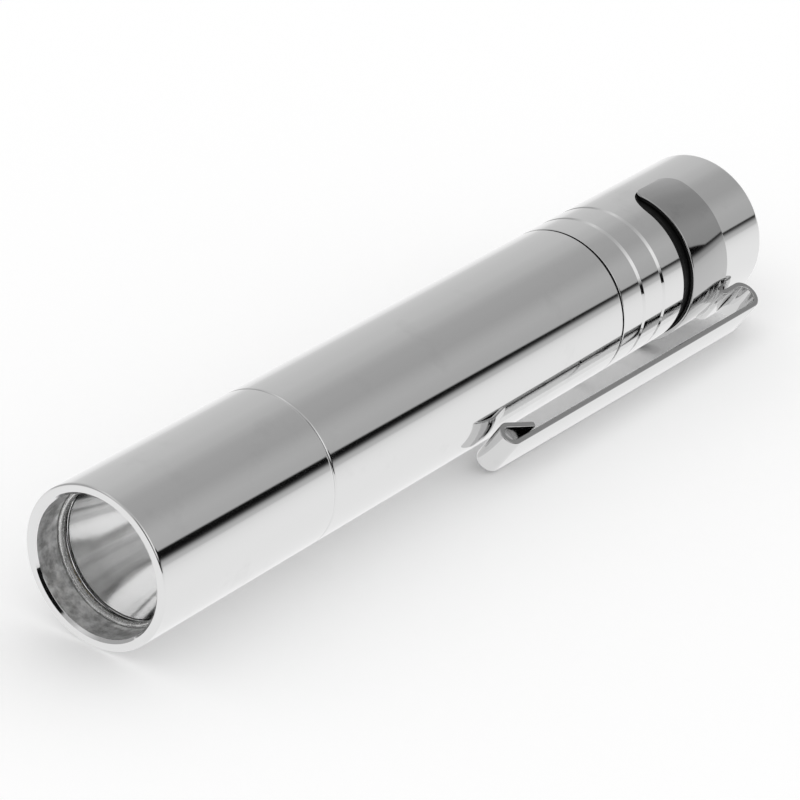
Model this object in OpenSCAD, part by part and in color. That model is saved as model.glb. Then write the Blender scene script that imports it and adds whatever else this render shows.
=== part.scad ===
// Penlight for one small cylindrical cell: a turned head, barrel and tail cap with a bent strip clip.
// Each piece is drawn upright, with z as the distance from the front rim, and then laid on its side:
// the lamp end points along -X, and the barrel and the clip both touch the ground plane z = 0.

/* [Body] */
// Outer diameter of the head, the barrel and the tail cap
body_d = 14; // [13.8:0.1:16]
// Length of barrel that shows between the head and the tail cap
barrel_len = 41.8; // [41:0.1:45]
// Length of the threaded neck that enters the head
front_neck_len = 4.5; // [4:0.1:6]
// Length of the threaded neck that enters the tail cap
rear_neck_len = 5; // [4.5:0.1:5.4]
// Radial wall of both threaded necks
neck_wall = 0.97; // [0.9:0.01:1]
// Radial running gap of the threads
thread_gap = 0.05; // [0.03:0.01:0.08]
// Air between the end of a neck and the shoulder that it faces
neck_end_gap = 0.15; // [0.1:0.05:0.4]
// Bevel on both sides of the seam behind the head
head_seam_bevel = 0.2; // [0.1:0.05:0.3]
// Bevel on both sides of the seam in front of the tail cap
cap_seam_bevel = 0.07; // [0.05:0.01:0.2]

/* [Cell] */
// Diameter of the cell over its sleeve
cell_d = 10.5; // [10:0.1:10.6]
// Length of the cell over its positive nub
cell_len = 44.5; // [43.5:0.1:45]
// Radial gap between the cell and the barrel
cell_gap = 0.08; // [0.05:0.01:0.1]
// Diameter of the positive nub
nub_d = 3.8; // [3:0.1:5]
// Height of the positive nub
nub_h = 1; // [0.8:0.1:1.2]
// Thickness of the printed sleeve
sleeve_t = 0.15; // [0.1:0.05:0.2]
// Bare steel left at each end of the cell's sleeve
sleeve_inset = 0.3; // [0.2:0.1:0.8]
// Thickness of the insulating washer round the nub
washer_t = 0.2; // [0.1:0.05:0.3]

/* [Head] */
// Depth of the open bore in front of the glass
front_bore_depth = 2.6; // [1.5:0.1:5]
// Bevel on the inner edge of the rim
rim_bevel = 0.25; // [0.05:0.01:0.3]
// Radius on the outer edge of the rim
rim_round = 0.2; // [0.1:0.05:0.3]
// Diameter of the glass
glass_d = 11.9; // [11.6:0.1:12]
// Thickness of the glass
glass_t = 0.8; // [0.6:0.1:1.5]
// Radial gap between the glass and the head's bore
glass_gap = 0.1; // [0.05:0.01:0.12]
// Section of the ring that holds the glass
glass_ring_d = 0.7; // [0.6:0.05:0.8]
// Depth of that ring's groove in the head's bore
glass_ring_seat = 0.06; // [0.04:0.01:0.1]
// Height of the reflector
reflector_h = 10; // [7:0.1:14]
// Diameter of the reflector's mouth
mouth_d = 11.1; // [10.4:0.1:11.2]
// Diameter of the hole for the lamp at the reflector's foot
lamp_hole_d = 3.5; // [3.2:0.1:4]
// Thickness of the reflector's wall at its foot
reflector_wall = 1.2; // [0.8:0.1:1.6]
// Length of the reflector's cylindrical front band
reflector_band = 1.6; // [1:0.1:3]

/* [Lamp and driver] */
// Width of the lamp's square base
chip_w = 3.45; // [3:0.05:3.5]
// Thickness of the lamp's base
chip_t = 0.6; // [0.4:0.1:0.6]
// Diameter of the lamp's clear dome
dome_d = 2.7; // [2:0.1:2.8]
// Outer diameter of the ring that centres the lamp
gasket_d = 6.8; // [6:0.1:8]
// Thickness of the ring that centres the lamp
gasket_t = 0.7; // [0.65:0.05:1]
// Gap all round the lamp's base in that ring
gasket_gap = 0.05; // [0.03:0.01:0.1]
// Diameter of the lamp's metal board
board_d = 10; // [9:0.1:10.2]
// Thickness of the lamp's metal board
board_t = 1.4; // [1:0.1:1.6]
// Length of the brass carrier's threaded flange
pill_flange_len = 2; // [1.8:0.1:3]
// Length of the brass carrier's skirt inside the barrel's neck
pill_skirt_len = 3.5; // [3.2:0.1:4]
// Thickness of the brass carrier's floor between the board and the driver
pill_floor_t = 1.2; // [1:0.1:1.5]
// Wall of the brass carrier's skirt
pill_skirt_wall = 0.6; // [0.4:0.05:0.8]
// Thickness of the driver's board
driver_t = 1; // [0.8:0.1:1.2]
// Width of the driver's chip
driver_chip_w = 2.6; // [2:0.1:3]
// Height of the parts on the driver
driver_part_h = 0.8; // [0.5:0.1:0.8]
// Diameter of the pad that meets the cell
pad_d = 4; // [3:0.1:5]
// Height of the pad that meets the cell
pad_h = 0.8; // [0.5:0.1:1.2]
// Diameter of each lead over its jacket
lead_d = 0.8; // [0.6:0.1:0.9]
// Distance of each lead from the axis
lead_offset = 3.2; // [3:0.1:3.5]
// Diameter of the holes for the leads
lead_hole_d = 1.2; // [1:0.1:1.3]

/* [Seals] */
// Section of the two neck seals
seal_d = 0.55; // [0.5:0.01:0.56]
// Width of the groove of each neck seal
seal_groove_w = 0.8; // [0.7:0.05:1]
// Depth of the groove of each neck seal
seal_groove_depth = 0.59; // [0.57:0.01:0.62]
// Distance of each seal's groove from the barrel's shoulder
seal_from_shoulder = 0.7; // [0.5:0.1:1]

/* [Tail cap] */
// Room from the front of the tail cap to the retaining ring
ring_setback = 7.05; // [6.8:0.05:8]
// Diameter of the cap's inner bore
inner_bore_d = 11.2; // [11:0.1:11.3]
// Distance of the first fine groove from the cap's front
fine_groove_from = 3.15; // [2:0.05:4]
// Spacing of the two fine grooves
fine_groove_pitch = 3.2; // [2:0.1:3.4]
// Depth of the fine grooves, which are as wide as twice that
fine_groove_depth = 0.22; // [0.15:0.01:0.3]
// Distance of the clip's groove from the cap's front
clip_groove_from = 9.6; // [8:0.1:10]
// Air in the groove in front of the clip's band
clip_groove_front_gap = 1.35; // [0.5:0.05:1.5]
// Air in the groove behind the clip's band
clip_groove_rear_gap = 0.25; // [0.2:0.05:0.5]
// Air in the groove beyond the two ends of the clip's band
clip_groove_end_gap = 0.15; // [0.1:0.05:0.5]
// Depth of the clip's groove, which runs only as far as the band
clip_groove_depth = 0.25; // [0.2:0.01:0.3]
// Radius on the outer edge of the tail
tail_round = 0.35; // [0.2:0.05:0.8]
// Thickness of the wall behind the rubber button's flange
rear_wall_t = 5.1; // [4:0.1:6]

/* [Clip] */
// Thickness of the strip
strip_t = 0.5; // [0.4:0.02:0.52]
// Width of the strip along its arm
strip_w = 4.1; // [3:0.1:5]
// Width of the band in the cap's groove
band_w = 5.6; // [5:0.1:6]
// Angle that the band reaches on each side of the arm
band_reach = 123; // [100:1:140]
// Corner radius at the front of the band's ends
band_front_corner = 1; // [0.5:0.1:1.5]
// Corner radius at the rear of the band's ends
band_rear_corner = 1.8; // [0.5:0.1:2]
// Radial gap between the band and the groove's floor
band_gap = 0.03; // [0.02:0.01:0.05]
// Gap between the clip's neck and the cap's surface
neck_lift = 0.08; // [0.06:0.01:0.2]
// Slope of the step from the band up to the neck, in degrees
step_slope = 38; // [30:1:45]
// Distance by which the step starts before the band's rear edge
step_lead = 0.45; // [0.4:0.05:0.6]
// Distance by which the step stays joined to the band before its rear edge
root_lap = 0.25; // [0.15:0.01:0.35]
// Mean radius of the two bends of the step
step_bend_r = 0.5; // [0.35:0.05:0.7]
// Length of flat strip between the step and the U bend
neck_flat_len = 1.74; // [1.2:0.02:2]
// Gap between the arm and the body at the U bend
arm_rear_gap = 2.45; // [2:0.05:3.5]
// Length of the straight arm
arm_len = 37.1; // [30:0.1:42]
// Gap between the rolled nose and the barrel
nose_gap = 0.2; // [0.1:0.05:0.4]
// Mean radius of the rolled nose
nose_bend_r = 0.9; // [0.7:0.01:1.1]
// Tilt of the nose's return leg, in degrees
nose_tilt = 23; // [18:1:30]
// Gap between the end of the return leg and the arm
nose_tip_gap = 0.08; // [0.05:0.01:0.3]

/* [Switch] */
// Thickness of the retaining ring
ring_t = 1.2; // [1:0.1:2]
// Diameter of the retaining ring's hole
ring_hole_d = 7.4; // [7:0.1:8]
// Diameter of the two key holes in the retaining ring
key_hole_d = 0.9; // [0.6:0.1:1]
// Radial gap between the switch's round pieces and the cap's bore
switch_gap = 0.06; // [0.05:0.01:0.1]
// Thickness of the switch's board
switch_board_t = 1; // [0.8:0.1:1.2]
// Width of the switch's square housing
housing_w = 7; // [6.8:0.1:7.1]
// Length of the switch's housing
housing_h = 6.4; // [6:0.1:7]
// Wall at the front and rear of the switch's housing
housing_wall = 0.7; // [0.5:0.05:0.8]
// Diameter of the cavity in the switch's housing
cavity_d = 5.8; // [5.6:0.1:6]
// Thickness of the carrier's rear plate
carrier_plate_t = 1; // [0.8:0.1:1.5]
// Diameter of the hole in the carrier's rear plate
carrier_hole_d = 4.4; // [4:0.1:5]
// Gap all round the housing in its carrier
housing_gap = 0.05; // [0.04:0.01:0.06]
// Diameter of the plunger's stem
stem_d = 3.4; // [3:0.1:3.6]
// Radial running gap of the plunger
stem_gap = 0.05; // [0.04:0.01:0.1]
// Diameter of the plunger's flange
plunger_flange_d = 5.4; // [5:0.1:5.5]
// Thickness of the plunger's flange
plunger_flange_t = 0.8; // [0.6:0.1:1]
// Travel of the button
press_travel = 1.5; // [1:0.1:1.5]
// Thickness of the moving contact ring
bridge_t = 0.3; // [0.2:0.05:0.4]
// Inner diameter of the moving contact ring
bridge_hole_d = 3.8; // [3.6:0.1:4]
// Distance of each terminal from the axis
terminal_offset = 2.3; // [2.2:0.05:2.4]
// Air between the terminals and the contact ring at full travel
terminal_gap = 0.1; // [0.05:0.05:0.2]
// Width of each terminal
terminal_w = 0.6; // [0.4:0.05:0.7]
// Thickness of each terminal
terminal_t = 0.4; // [0.3:0.05:0.5]

/* [Springs] */
// Wire of the cell's spring
cell_wire_d = 0.5; // [0.4:0.05:0.6]
// Outer diameter of the cell's spring at the switch's board
cell_spring_d = 6.4; // [6:0.1:6.8]
// Outer diameter of the cell's spring at the cell
cell_spring_tip_d = 4; // [3.5:0.1:5]
// Curls of the cell's spring
cell_spring_curls = 4; // [3:1:5]
// Wire of the button's return spring
return_wire_d = 0.25; // [0.2:0.05:0.3]
// Outer diameter of the button's return spring
return_spring_d = 3.1; // [2.8:0.1:3.4]
// Curls of the button's return spring
return_spring_curls = 4; // [3:1:5]
// Air left at each end of a spring
spring_end_gap = 0.03; // [0.02:0.01:0.06]

/* [Button] */
// Thickness of the rubber button's flange
boot_flange_t = 1; // [0.8:0.1:1.2]
// Diameter of the rubber button's dome
boot_d = 9.5; // [8.5:0.1:9.8]
// Radial gap round the dome in the cap's rear hole
boot_gap = 0.1; // [0.05:0.01:0.2]
// Depth of the button below the end of the tail
boot_recess = 0.8; // [0.4:0.1:1.2]
// Side wall of the rubber button
boot_wall = 0.7; // [0.5:0.1:1]
// Thickness of the rubber button's top
boot_top_t = 0.9; // [0.7:0.1:1]
// Radius on the edge of the rubber button's top
boot_round = 0.6; // [0.3:0.1:0.8]
// Air between the rubber button's inner nub and the plunger
boot_nub_gap = 0.1; // [0.05:0.01:0.15]
// Diameter of the rubber button's inner nub
boot_nub_d = 3; // [2:0.1:4]
// Height of the rubber button's inner nub
boot_nub_h = 0.3; // [0.2:0.05:0.5]

/* [Hidden] */
$fn = 96;
// Small overrun of every cut past the face that it opens
cut = 0.5;
// Straight steps in the round of a turned edge
edge_steps = 4;
// Straight steps along the reflector's curve
mirror_steps = 14;
// Largest angle of one straight step in a bend of the clip
bend_step = 10;
// The round of a band's corner meets its edges at a slight angle, by this share of its radius
corner_share = 1.02;
// The groove's front corners are rounder than the band's by this share of the air in front of the band
groove_taper_share = 1.3;
// Sides of a spring's wire, and rings of points in one of its curls
wire_sides = 6;
curl_rings = 16;

// Radii of the turned sections
body_r = body_d / 2;
bore_r = cell_d / 2 + cell_gap;
neck_r = bore_r + neck_wall;
thread_r = neck_r + thread_gap;
inner_bore_r = inner_bore_d / 2;
head_bore_r = glass_d / 2 + glass_gap;
glass_ring_r = head_bore_r + glass_ring_seat;
boot_r = boot_d / 2;
boot_hole_r = boot_r + boot_gap;
switch_r = inner_bore_r - switch_gap;

// Places along the axis inside the head
glass_ring_z = front_bore_depth;
glass_z = glass_ring_z + glass_ring_d;
reflector_z = glass_z + glass_t;
gasket_z = reflector_z + reflector_h;
board_z = gasket_z + gasket_t;
pill_z = board_z;
pill_floor_z = board_z + board_t;
pill_cavity_z = pill_floor_z + pill_floor_t;
pill_skirt_z = pill_z + pill_flange_len;
pill_end_z = pill_skirt_z + pill_skirt_len;
driver_z = pill_end_z - driver_t;
pad_z = pill_end_z;
neck_z = pill_skirt_z + neck_end_gap;
head_len = neck_z + front_neck_len;

// Places along the axis behind the head
nub_z = pad_z + pad_h;
cell_z = nub_z + nub_h;
cell_end_z = nub_z + cell_len;
cap_z = head_len + barrel_len;
ring_z = cap_z + ring_setback;
switch_board_z = ring_z + ring_t;
housing_z = switch_board_z + switch_board_t;
cavity_z = housing_z + housing_wall;
cavity_end_z = housing_z + housing_h - housing_wall;
carrier_plate_z = housing_z + housing_h;
carrier_end_z = carrier_plate_z + carrier_plate_t;
flange_z = cavity_end_z - plunger_flange_t;
bridge_z = flange_z - bridge_t;
terminal_end_z = bridge_z - press_travel - terminal_gap;
boot_z = carrier_end_z;
rear_wall_z = boot_z + boot_flange_t;
tail_z = rear_wall_z + rear_wall_t;
boot_top_z = tail_z - boot_recess;
boot_ceiling_z = boot_top_z - boot_top_t;
boot_nub_z = boot_ceiling_z - boot_nub_h;
stem_end_z = boot_nub_z - boot_nub_gap;

// Places of the grooves in the cap and of the clip's bends
clip_groove_z = cap_z + clip_groove_from;
band_z = clip_groove_z + clip_groove_front_gap;
band_end_z = band_z + band_w;
clip_groove_end_z = band_end_z + clip_groove_rear_gap;
clip_groove_r = body_r - clip_groove_depth;
band_r = clip_groove_r + band_gap;
clip_groove_reach = band_reach + asin(clip_groove_end_gap / band_r);
clip_groove_corner = band_front_corner + clip_groove_front_gap * groove_taper_share;
strip_mid_r = band_r + strip_t / 2;
neck_mid_r = body_r + neck_lift + strip_t / 2;
step_rise = neck_mid_r - strip_mid_r;
step_bend_rise = step_bend_r * (1 - cos(step_slope));
step_flat_len = (step_rise - 2 * step_bend_rise) / sin(step_slope);
arm_rear_reach = body_r + arm_rear_gap + strip_t;
arm_front_reach = body_r + nose_gap + strip_t + 2 * nose_bend_r;
arm_lean = asin((arm_rear_reach - arm_front_reach) / arm_len);
u_bend_r = (arm_rear_reach - strip_t / 2 - neck_mid_r) / (1 + cos(arm_lean));
nose_leg_rise = nose_bend_r * (1 + cos(nose_tilt)) - strip_t / 2 * (1 + cos(nose_tilt)) - nose_tip_gap;
nose_leg_len = nose_leg_rise / sin(nose_tilt);

// The body lies on the ground with the arm's lower corner, which fixes the clip's angle from straight down
corner_reach = norm([arm_rear_reach, strip_w / 2]);
lie_angle = acos(body_r / corner_reach) + atan(strip_w / 2 / arm_rear_reach);
side_reach = arm_rear_reach * sin(lie_angle) + strip_w / 2 * cos(lie_angle);
axis_y = (side_reach - body_r) / 2;

// Points of an arc about a centre, from one angle to another
function arc(centre, r, from, to, steps) =
    [for (i = [0:steps])
        let (turn = from + (to - from) * i / steps)
        centre + r * [cos(turn), sin(turn)]];

// Points along a spring's wire, tapering from one mean radius to another
function coil_path(z0, z1, r0, r1, curls) =
    let (last = curls * curl_rings)
    [for (i = [0:last])
        let (share = i / last, turn = 360 * curls * share, r = r0 + (r1 - r0) * share)
        [r * cos(turn), r * sin(turn), z0 + (z1 - z0) * share]];

// Smallest distance between the surfaces of neighbouring curls
function least_gap(path, wire_d) =
    min([for (i = [0:len(path) - curl_rings - 1], j = [i + curl_rings / 2:len(path) - 1])
        norm(path[j] - path[i]) - wire_d]);

function unit(v) = v / norm(v);

// One closed ring of points square to the wire
function wire_ring(path, i, wire_r) =
    let (
        last = len(path) - 1,
        along = unit(path[min(i + 1, last)] - path[max(i - 1, 0)]),
        side = unit(cross(along, [path[i].x, path[i].y, 0])),
        out = cross(side, along)
    )
    [for (k = [0:wire_sides - 1])
        path[i] + wire_r * (out * cos(360 * k / wire_sides) + side * sin(360 * k / wire_sides))];

// Lays an upright piece along X, with its lowest side on the ground
module laid_down() {
    translate([-tail_z / 2, axis_y, body_r])
        rotate([0, 90, 0])
            children();
}

// A straight tube between two places along the axis
module tube(z0, z1, outer_r, inner_r) {
    translate([0, 0, z0])
        difference() {
            cylinder(h = z1 - z0, r = outer_r);
            translate([0, 0, -cut])
                cylinder(h = z1 - z0 + 2 * cut, r = inner_r);
        }
}

// A solid disc or rod between two places along the axis
module rod(z0, z1, r) {
    translate([0, 0, z0])
        cylinder(h = z1 - z0, r = r);
}

// A ring of round section that touches a given outer radius
module round_ring(z, outer_r, section_d) {
    translate([0, 0, z + section_d / 2])
        rotate_extrude()
            translate([outer_r - section_d / 2, 0])
                circle(d = section_d, $fn = 32);
}

// A spring's wire as one unbroken tube
module coil(path, wire_d) {
    rings = [for (i = [0:len(path) - 1]) wire_ring(path, i, wire_d / 2)];
    points = [for (ring = rings, p = ring) p];
    last = len(points) - wire_sides;
    sides = [for (i = [0:len(path) - 2], k = [0:wire_sides - 1])
        let (a = i * wire_sides + k, b = i * wire_sides + (k + 1) % wire_sides)
        each [[a, b, b + wire_sides], [a, b + wire_sides, a + wire_sides]]];
    ends = [for (k = [1:wire_sides - 2]) each [[0, k + 1, k], [last, last + k, last + k + 1]]];
    polyhedron(points, concat(sides, ends));
}

// Turned tube with the rim, the glass ring's groove and the thread for the barrel
module head_shell() {
    seam_r = body_r - head_seam_bevel;
    color("gainsboro")
        laid_down()
            rotate_extrude()
                polygon(concat(
                    [[head_bore_r + rim_bevel, 0]],
                    arc([body_r - rim_round, rim_round], rim_round, -90, 0, edge_steps),
                    [[body_r, head_len - head_seam_bevel], [seam_r, head_len], [thread_r, head_len],
                        [thread_r, pill_z], [head_bore_r, pill_z], [head_bore_r, glass_z],
                        [glass_ring_r, glass_z], [glass_ring_r, glass_ring_z],
                        [head_bore_r, glass_ring_z], [head_bore_r, rim_bevel]]));
}

// Pale ring pressed into the groove in front of the glass
module lens_o_ring() {
    color("whitesmoke")
        laid_down()
            round_ring(glass_ring_z, glass_ring_r, glass_ring_d);
}

// Flat glass
module lens() {
    color("azure")
        laid_down()
            rod(glass_z, glass_z + glass_t, glass_d / 2);
}

// Smooth bright cup, a parabola of revolution between its mouth and the lamp's hole
module reflector() {
    mouth_r = mouth_d / 2;
    foot_r = lamp_hole_d / 2;
    outer_r = glass_d / 2;
    outer_foot_r = foot_r + reflector_wall;
    end_z = reflector_z + reflector_h;
    color("white")
        laid_down()
            rotate_extrude()
                polygon(concat(
                    [for (i = [0:mirror_steps])
                        let (share = i / mirror_steps, r = mouth_r + (foot_r - mouth_r) * share)
                        [r, reflector_z + reflector_h
                            * (mouth_r * mouth_r - r * r) / (mouth_r * mouth_r - foot_r * foot_r)]],
                    [[outer_foot_r, end_z], [outer_r, reflector_z + reflector_band],
                        [outer_r, reflector_z]]));
}

// Ring with a square window that centres the lamp under the reflector
module led_gasket() {
    window_w = chip_w + 2 * gasket_gap;
    color("white")
        laid_down()
            difference() {
                rod(gasket_z, gasket_z + gasket_t, gasket_d / 2);
                translate([-window_w / 2, -window_w / 2, gasket_z - cut])
                    cube([window_w, window_w, gasket_t + 2 * cut]);
            }
}

// Metal-core disc that carries the lamp
module led_board() {
    color("whitesmoke")
        laid_down()
            rod(board_z, board_z + board_t, board_d / 2);
}

// Square ceramic base of the lamp
module led_emitter() {
    color("gold")
        laid_down()
            translate([-chip_w / 2, -chip_w / 2, board_z - chip_t])
                cube([chip_w, chip_w, chip_t]);
}

// Clear dome on the lamp's base
module led_dome() {
    dome_z = board_z - chip_t;
    color("khaki")
        laid_down()
            translate([0, 0, dome_z])
                intersection() {
                    sphere(d = dome_d);
                    translate([-dome_d, -dome_d, -dome_d])
                        cube([2 * dome_d, 2 * dome_d, dome_d]);
                }
}

// Two holes through a floor, one for each lead
module lead_holes(z0, z1, d) {
    for (side = [-1, 1])
        translate([0, side * lead_offset, 0])
            rod(z0, z1, d / 2);
}

// Brass carrier: a threaded flange with a seat for the lamp's board, and a skirt that holds the driver
module pill() {
    skirt_r = bore_r - cell_gap;
    color("goldenrod")
        laid_down()
            difference() {
                union() {
                    rod(pill_z, pill_skirt_z, thread_r - thread_gap);
                    rod(pill_z, pill_end_z, skirt_r);
                }
                rod(pill_z - cut, pill_floor_z, board_d / 2);
                rod(pill_cavity_z, pill_end_z + cut, skirt_r - pill_skirt_wall);
                lead_holes(pill_floor_z - cut, pill_cavity_z + cut, lead_hole_d);
            }
}

// Jacketed leads from the driver to the lamp's board
module led_leads() {
    color("firebrick")
        laid_down()
            lead_holes(pill_floor_z, driver_z, lead_d);
}

// Round driver board in the carrier's skirt
module driver_board() {
    color("darkgreen")
        laid_down()
            rod(driver_z, driver_z + driver_t, bore_r - cell_gap - pill_skirt_wall);
}

// Chip and coil on the driver's lamp side
module driver_parts() {
    gap = driver_chip_w / 8;
    color("dimgray")
        laid_down()
            translate([0, 0, driver_z - driver_part_h]) {
                translate([gap, -driver_chip_w / 2, 0])
                    cube([driver_chip_w, driver_chip_w, driver_part_h]);
                translate([-gap - driver_chip_w / 2, 0, 0])
                    cylinder(h = driver_part_h, d = driver_chip_w);
            }
}

// Brass pad that meets the cell's positive nub
module driver_contact() {
    color("goldenrod")
        laid_down()
            rod(pad_z, pad_z + pad_h, pad_d / 2);
}

// Tube with a threaded and grooved neck at each end
module barrel() {
    start = neck_z;
    end = cap_z + rear_neck_len;
    front_seam_r = body_r - head_seam_bevel;
    rear_seam_r = body_r - cap_seam_bevel;
    groove_r = neck_r - seal_groove_depth;
    front_groove_z = head_len - seal_from_shoulder - seal_groove_w;
    rear_groove_z = cap_z + seal_from_shoulder;
    color("gainsboro")
        laid_down()
            rotate_extrude()
                polygon([[bore_r, start], [neck_r, start],
                    [neck_r, front_groove_z], [groove_r, front_groove_z],
                    [groove_r, front_groove_z + seal_groove_w], [neck_r, front_groove_z + seal_groove_w],
                    [neck_r, head_len], [front_seam_r, head_len], [body_r, head_len + head_seam_bevel],
                    [body_r, cap_z - cap_seam_bevel], [rear_seam_r, cap_z], [neck_r, cap_z],
                    [neck_r, rear_groove_z], [groove_r, rear_groove_z],
                    [groove_r, rear_groove_z + seal_groove_w], [neck_r, rear_groove_z + seal_groove_w],
                    [neck_r, end], [bore_r, end]]);
}

// Outer radius at which a seal sits midway between its groove and the thread's bore
seal_r = (neck_r - seal_groove_depth + thread_r + seal_d) / 2;

// Seal on the barrel's front neck
module head_o_ring() {
    color("black")
        laid_down()
            round_ring(head_len - seal_from_shoulder - (seal_groove_w + seal_d) / 2, seal_r, seal_d);
}

// Seal on the barrel's rear neck
module tail_o_ring() {
    color("black")
        laid_down()
            round_ring(cap_z + seal_from_shoulder + (seal_groove_w - seal_d) / 2, seal_r, seal_d);
}

// Steel can of the cell
module battery_can() {
    color("silver")
        laid_down()
            rod(cell_z, cell_end_z, cell_d / 2 - sleeve_t);
}

// Plain sleeve round the cell
module battery_sleeve() {
    color("slategray")
        laid_down()
            tube(cell_z + sleeve_inset, cell_end_z - sleeve_inset, cell_d / 2, cell_d / 2 - sleeve_t);
}

// Positive nub of the cell
module battery_nub() {
    color("silver")
        laid_down()
            rod(nub_z, cell_z, nub_d / 2);
}

// Insulating washer round the nub
module battery_insulator() {
    color("white")
        laid_down()
            tube(cell_z - washer_t, cell_z, cell_d / 2 - sleeve_t - washer_t, nub_d / 2 + washer_t);
}

// A V-shaped notch in the cap's outline, with its point at the given place
function fine_notch(z) =
    [[body_r, z - fine_groove_depth], [body_r - fine_groove_depth, z], [body_r, z + fine_groove_depth]];

// Cutter for one rounded corner of a curved plate, in the plane that is square to its radius
module corner_cut(r, depth) {
    linear_extrude(height = depth + 4 * cut, center = true)
        difference() {
            translate([-cut, -cut])
                square([r + cut, r + cut]);
            translate([r, r])
                circle(r = r * corner_share);
        }
}

// Plate between two radii that reaches round by an angle on each side, with rounded corners
module curved_plate(inner_r, outer_r, front_z, rear_z, reach, front_corner, rear_corner) {
    difference() {
        translate([0, 0, front_z])
            rotate([0, 0, -reach])
                rotate_extrude(angle = 2 * reach)
                    translate([inner_r, 0])
                        square([outer_r - inner_r, rear_z - front_z]);
        for (side = [-1, 1])
            rotate([0, 0, side * reach])
                translate([(inner_r + outer_r) / 2, 0, 0]) {
                    translate([0, 0, front_z])
                        rotate([90, 0, 90])
                            mirror([side > 0 ? 1 : 0, 0, 0])
                                corner_cut(front_corner, outer_r - inner_r);
                    translate([0, 0, rear_z])
                        rotate([90, 0, 90])
                            mirror([side > 0 ? 1 : 0, 0, 0])
                                mirror([0, 1, 0])
                                    corner_cut(rear_corner, outer_r - inner_r);
                }
    }
}

// Cap with two fine grooves, the bores for the switch, the button's hole and a groove for the clip's band
module tail_cap() {
    seam_r = body_r - cap_seam_bevel;
    shoulder_z = cap_z + rear_neck_len + neck_end_gap;
    first_z = cap_z + fine_groove_from;
    color("gainsboro")
        laid_down()
            difference() {
                rotate_extrude()
                    polygon(concat(
                        [[thread_r, cap_z], [seam_r, cap_z], [body_r, cap_z + cap_seam_bevel]],
                        fine_notch(first_z),
                        fine_notch(first_z + fine_groove_pitch),
                        arc([body_r - tail_round, tail_z - tail_round], tail_round, 0, 90, edge_steps),
                        [[boot_hole_r, tail_z], [boot_hole_r, rear_wall_z], [inner_bore_r, rear_wall_z],
                            [inner_bore_r, shoulder_z], [thread_r, shoulder_z]]));
                rotate([0, 0, -lie_angle])
                    curved_plate(clip_groove_r, body_r + cut, clip_groove_z, clip_groove_end_z,
                        clip_groove_reach, clip_groove_corner, band_rear_corner + clip_groove_rear_gap);
            }
}

// Threaded ring with two key holes that holds the switch in the cap
module retaining_ring() {
    key_r = (switch_r + ring_hole_d / 2) / 2;
    color("goldenrod")
        laid_down()
            difference() {
                tube(ring_z, switch_board_z, switch_r, ring_hole_d / 2);
                for (side = [-1, 1])
                    translate([side * key_r, 0, 0])
                        rod(ring_z - cut, switch_board_z + cut, key_hole_d / 2);
            }
}

// Round board between the retaining ring and the switch
module switch_board() {
    color("darkgreen")
        laid_down()
            rod(switch_board_z, housing_z, switch_r);
}

// Tapered spring between the switch's board and the cell
module battery_spring() {
    wire_r = cell_wire_d / 2;
    path = coil_path(switch_board_z - wire_r - spring_end_gap, cell_end_z + wire_r + spring_end_gap,
        cell_spring_d / 2 - wire_r, cell_spring_tip_d / 2 - wire_r, cell_spring_curls);
    echo(battery_spring_least_gap = least_gap(path, cell_wire_d));
    color("gold")
        laid_down()
            coil(path, cell_wire_d);
}

// Round spacer that centres the square switch in the cap
module switch_carrier() {
    window_w = housing_w + 2 * housing_gap;
    color("ivory")
        laid_down()
            difference() {
                rod(housing_z, carrier_end_z, switch_r);
                translate([-window_w / 2, -window_w / 2, housing_z - cut])
                    cube([window_w, window_w, housing_h + cut]);
                rod(carrier_plate_z - cut, carrier_end_z + cut, carrier_hole_d / 2);
            }
}

// Square housing with the plunger's cavity and slots for the terminals
module switch_housing() {
    slot_t = terminal_t + 2 * stem_gap;
    slot_w = terminal_w + 2 * stem_gap;
    color("black")
        laid_down()
            difference() {
                translate([-housing_w / 2, -housing_w / 2, housing_z])
                    cube([housing_w, housing_w, housing_h]);
                rod(cavity_z, cavity_end_z, cavity_d / 2);
                rod(cavity_end_z - cut, carrier_plate_z + cut, stem_d / 2 + stem_gap);
                for (side = [-1, 1])
                    translate([-slot_w / 2, side * terminal_offset - slot_t / 2, housing_z - cut])
                        cube([slot_w, slot_t, housing_wall + 2 * cut]);
            }
}

// Two fixed terminals that stand on the board and reach into the cavity
module switch_terminals() {
    color("goldenrod")
        laid_down()
            for (side = [-1, 1])
                translate([-terminal_w / 2, side * terminal_offset - terminal_t / 2, housing_z])
                    cube([terminal_w, terminal_t, terminal_end_z - housing_z]);
}

// Sliding stem with a flange that stops in the housing
module switch_plunger() {
    color("red")
        laid_down()
            union() {
                rod(flange_z, cavity_end_z, plunger_flange_d / 2);
                rod(flange_z, stem_end_z, stem_d / 2);
            }
}

// Moving ring that closes the two terminals
module contact_bridge() {
    color("goldenrod")
        laid_down()
            tube(bridge_z, flange_z, plunger_flange_d / 2, bridge_hole_d / 2);
}

// Spring that lifts the plunger again
module return_spring() {
    wire_r = return_wire_d / 2;
    mean_r = return_spring_d / 2 - wire_r;
    path = coil_path(cavity_z + wire_r + spring_end_gap, flange_z - wire_r - spring_end_gap,
        mean_r, mean_r, return_spring_curls);
    echo(return_spring_least_gap = least_gap(path, return_wire_d));
    color("silver")
        laid_down()
            coil(path, return_wire_d);
}

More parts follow.
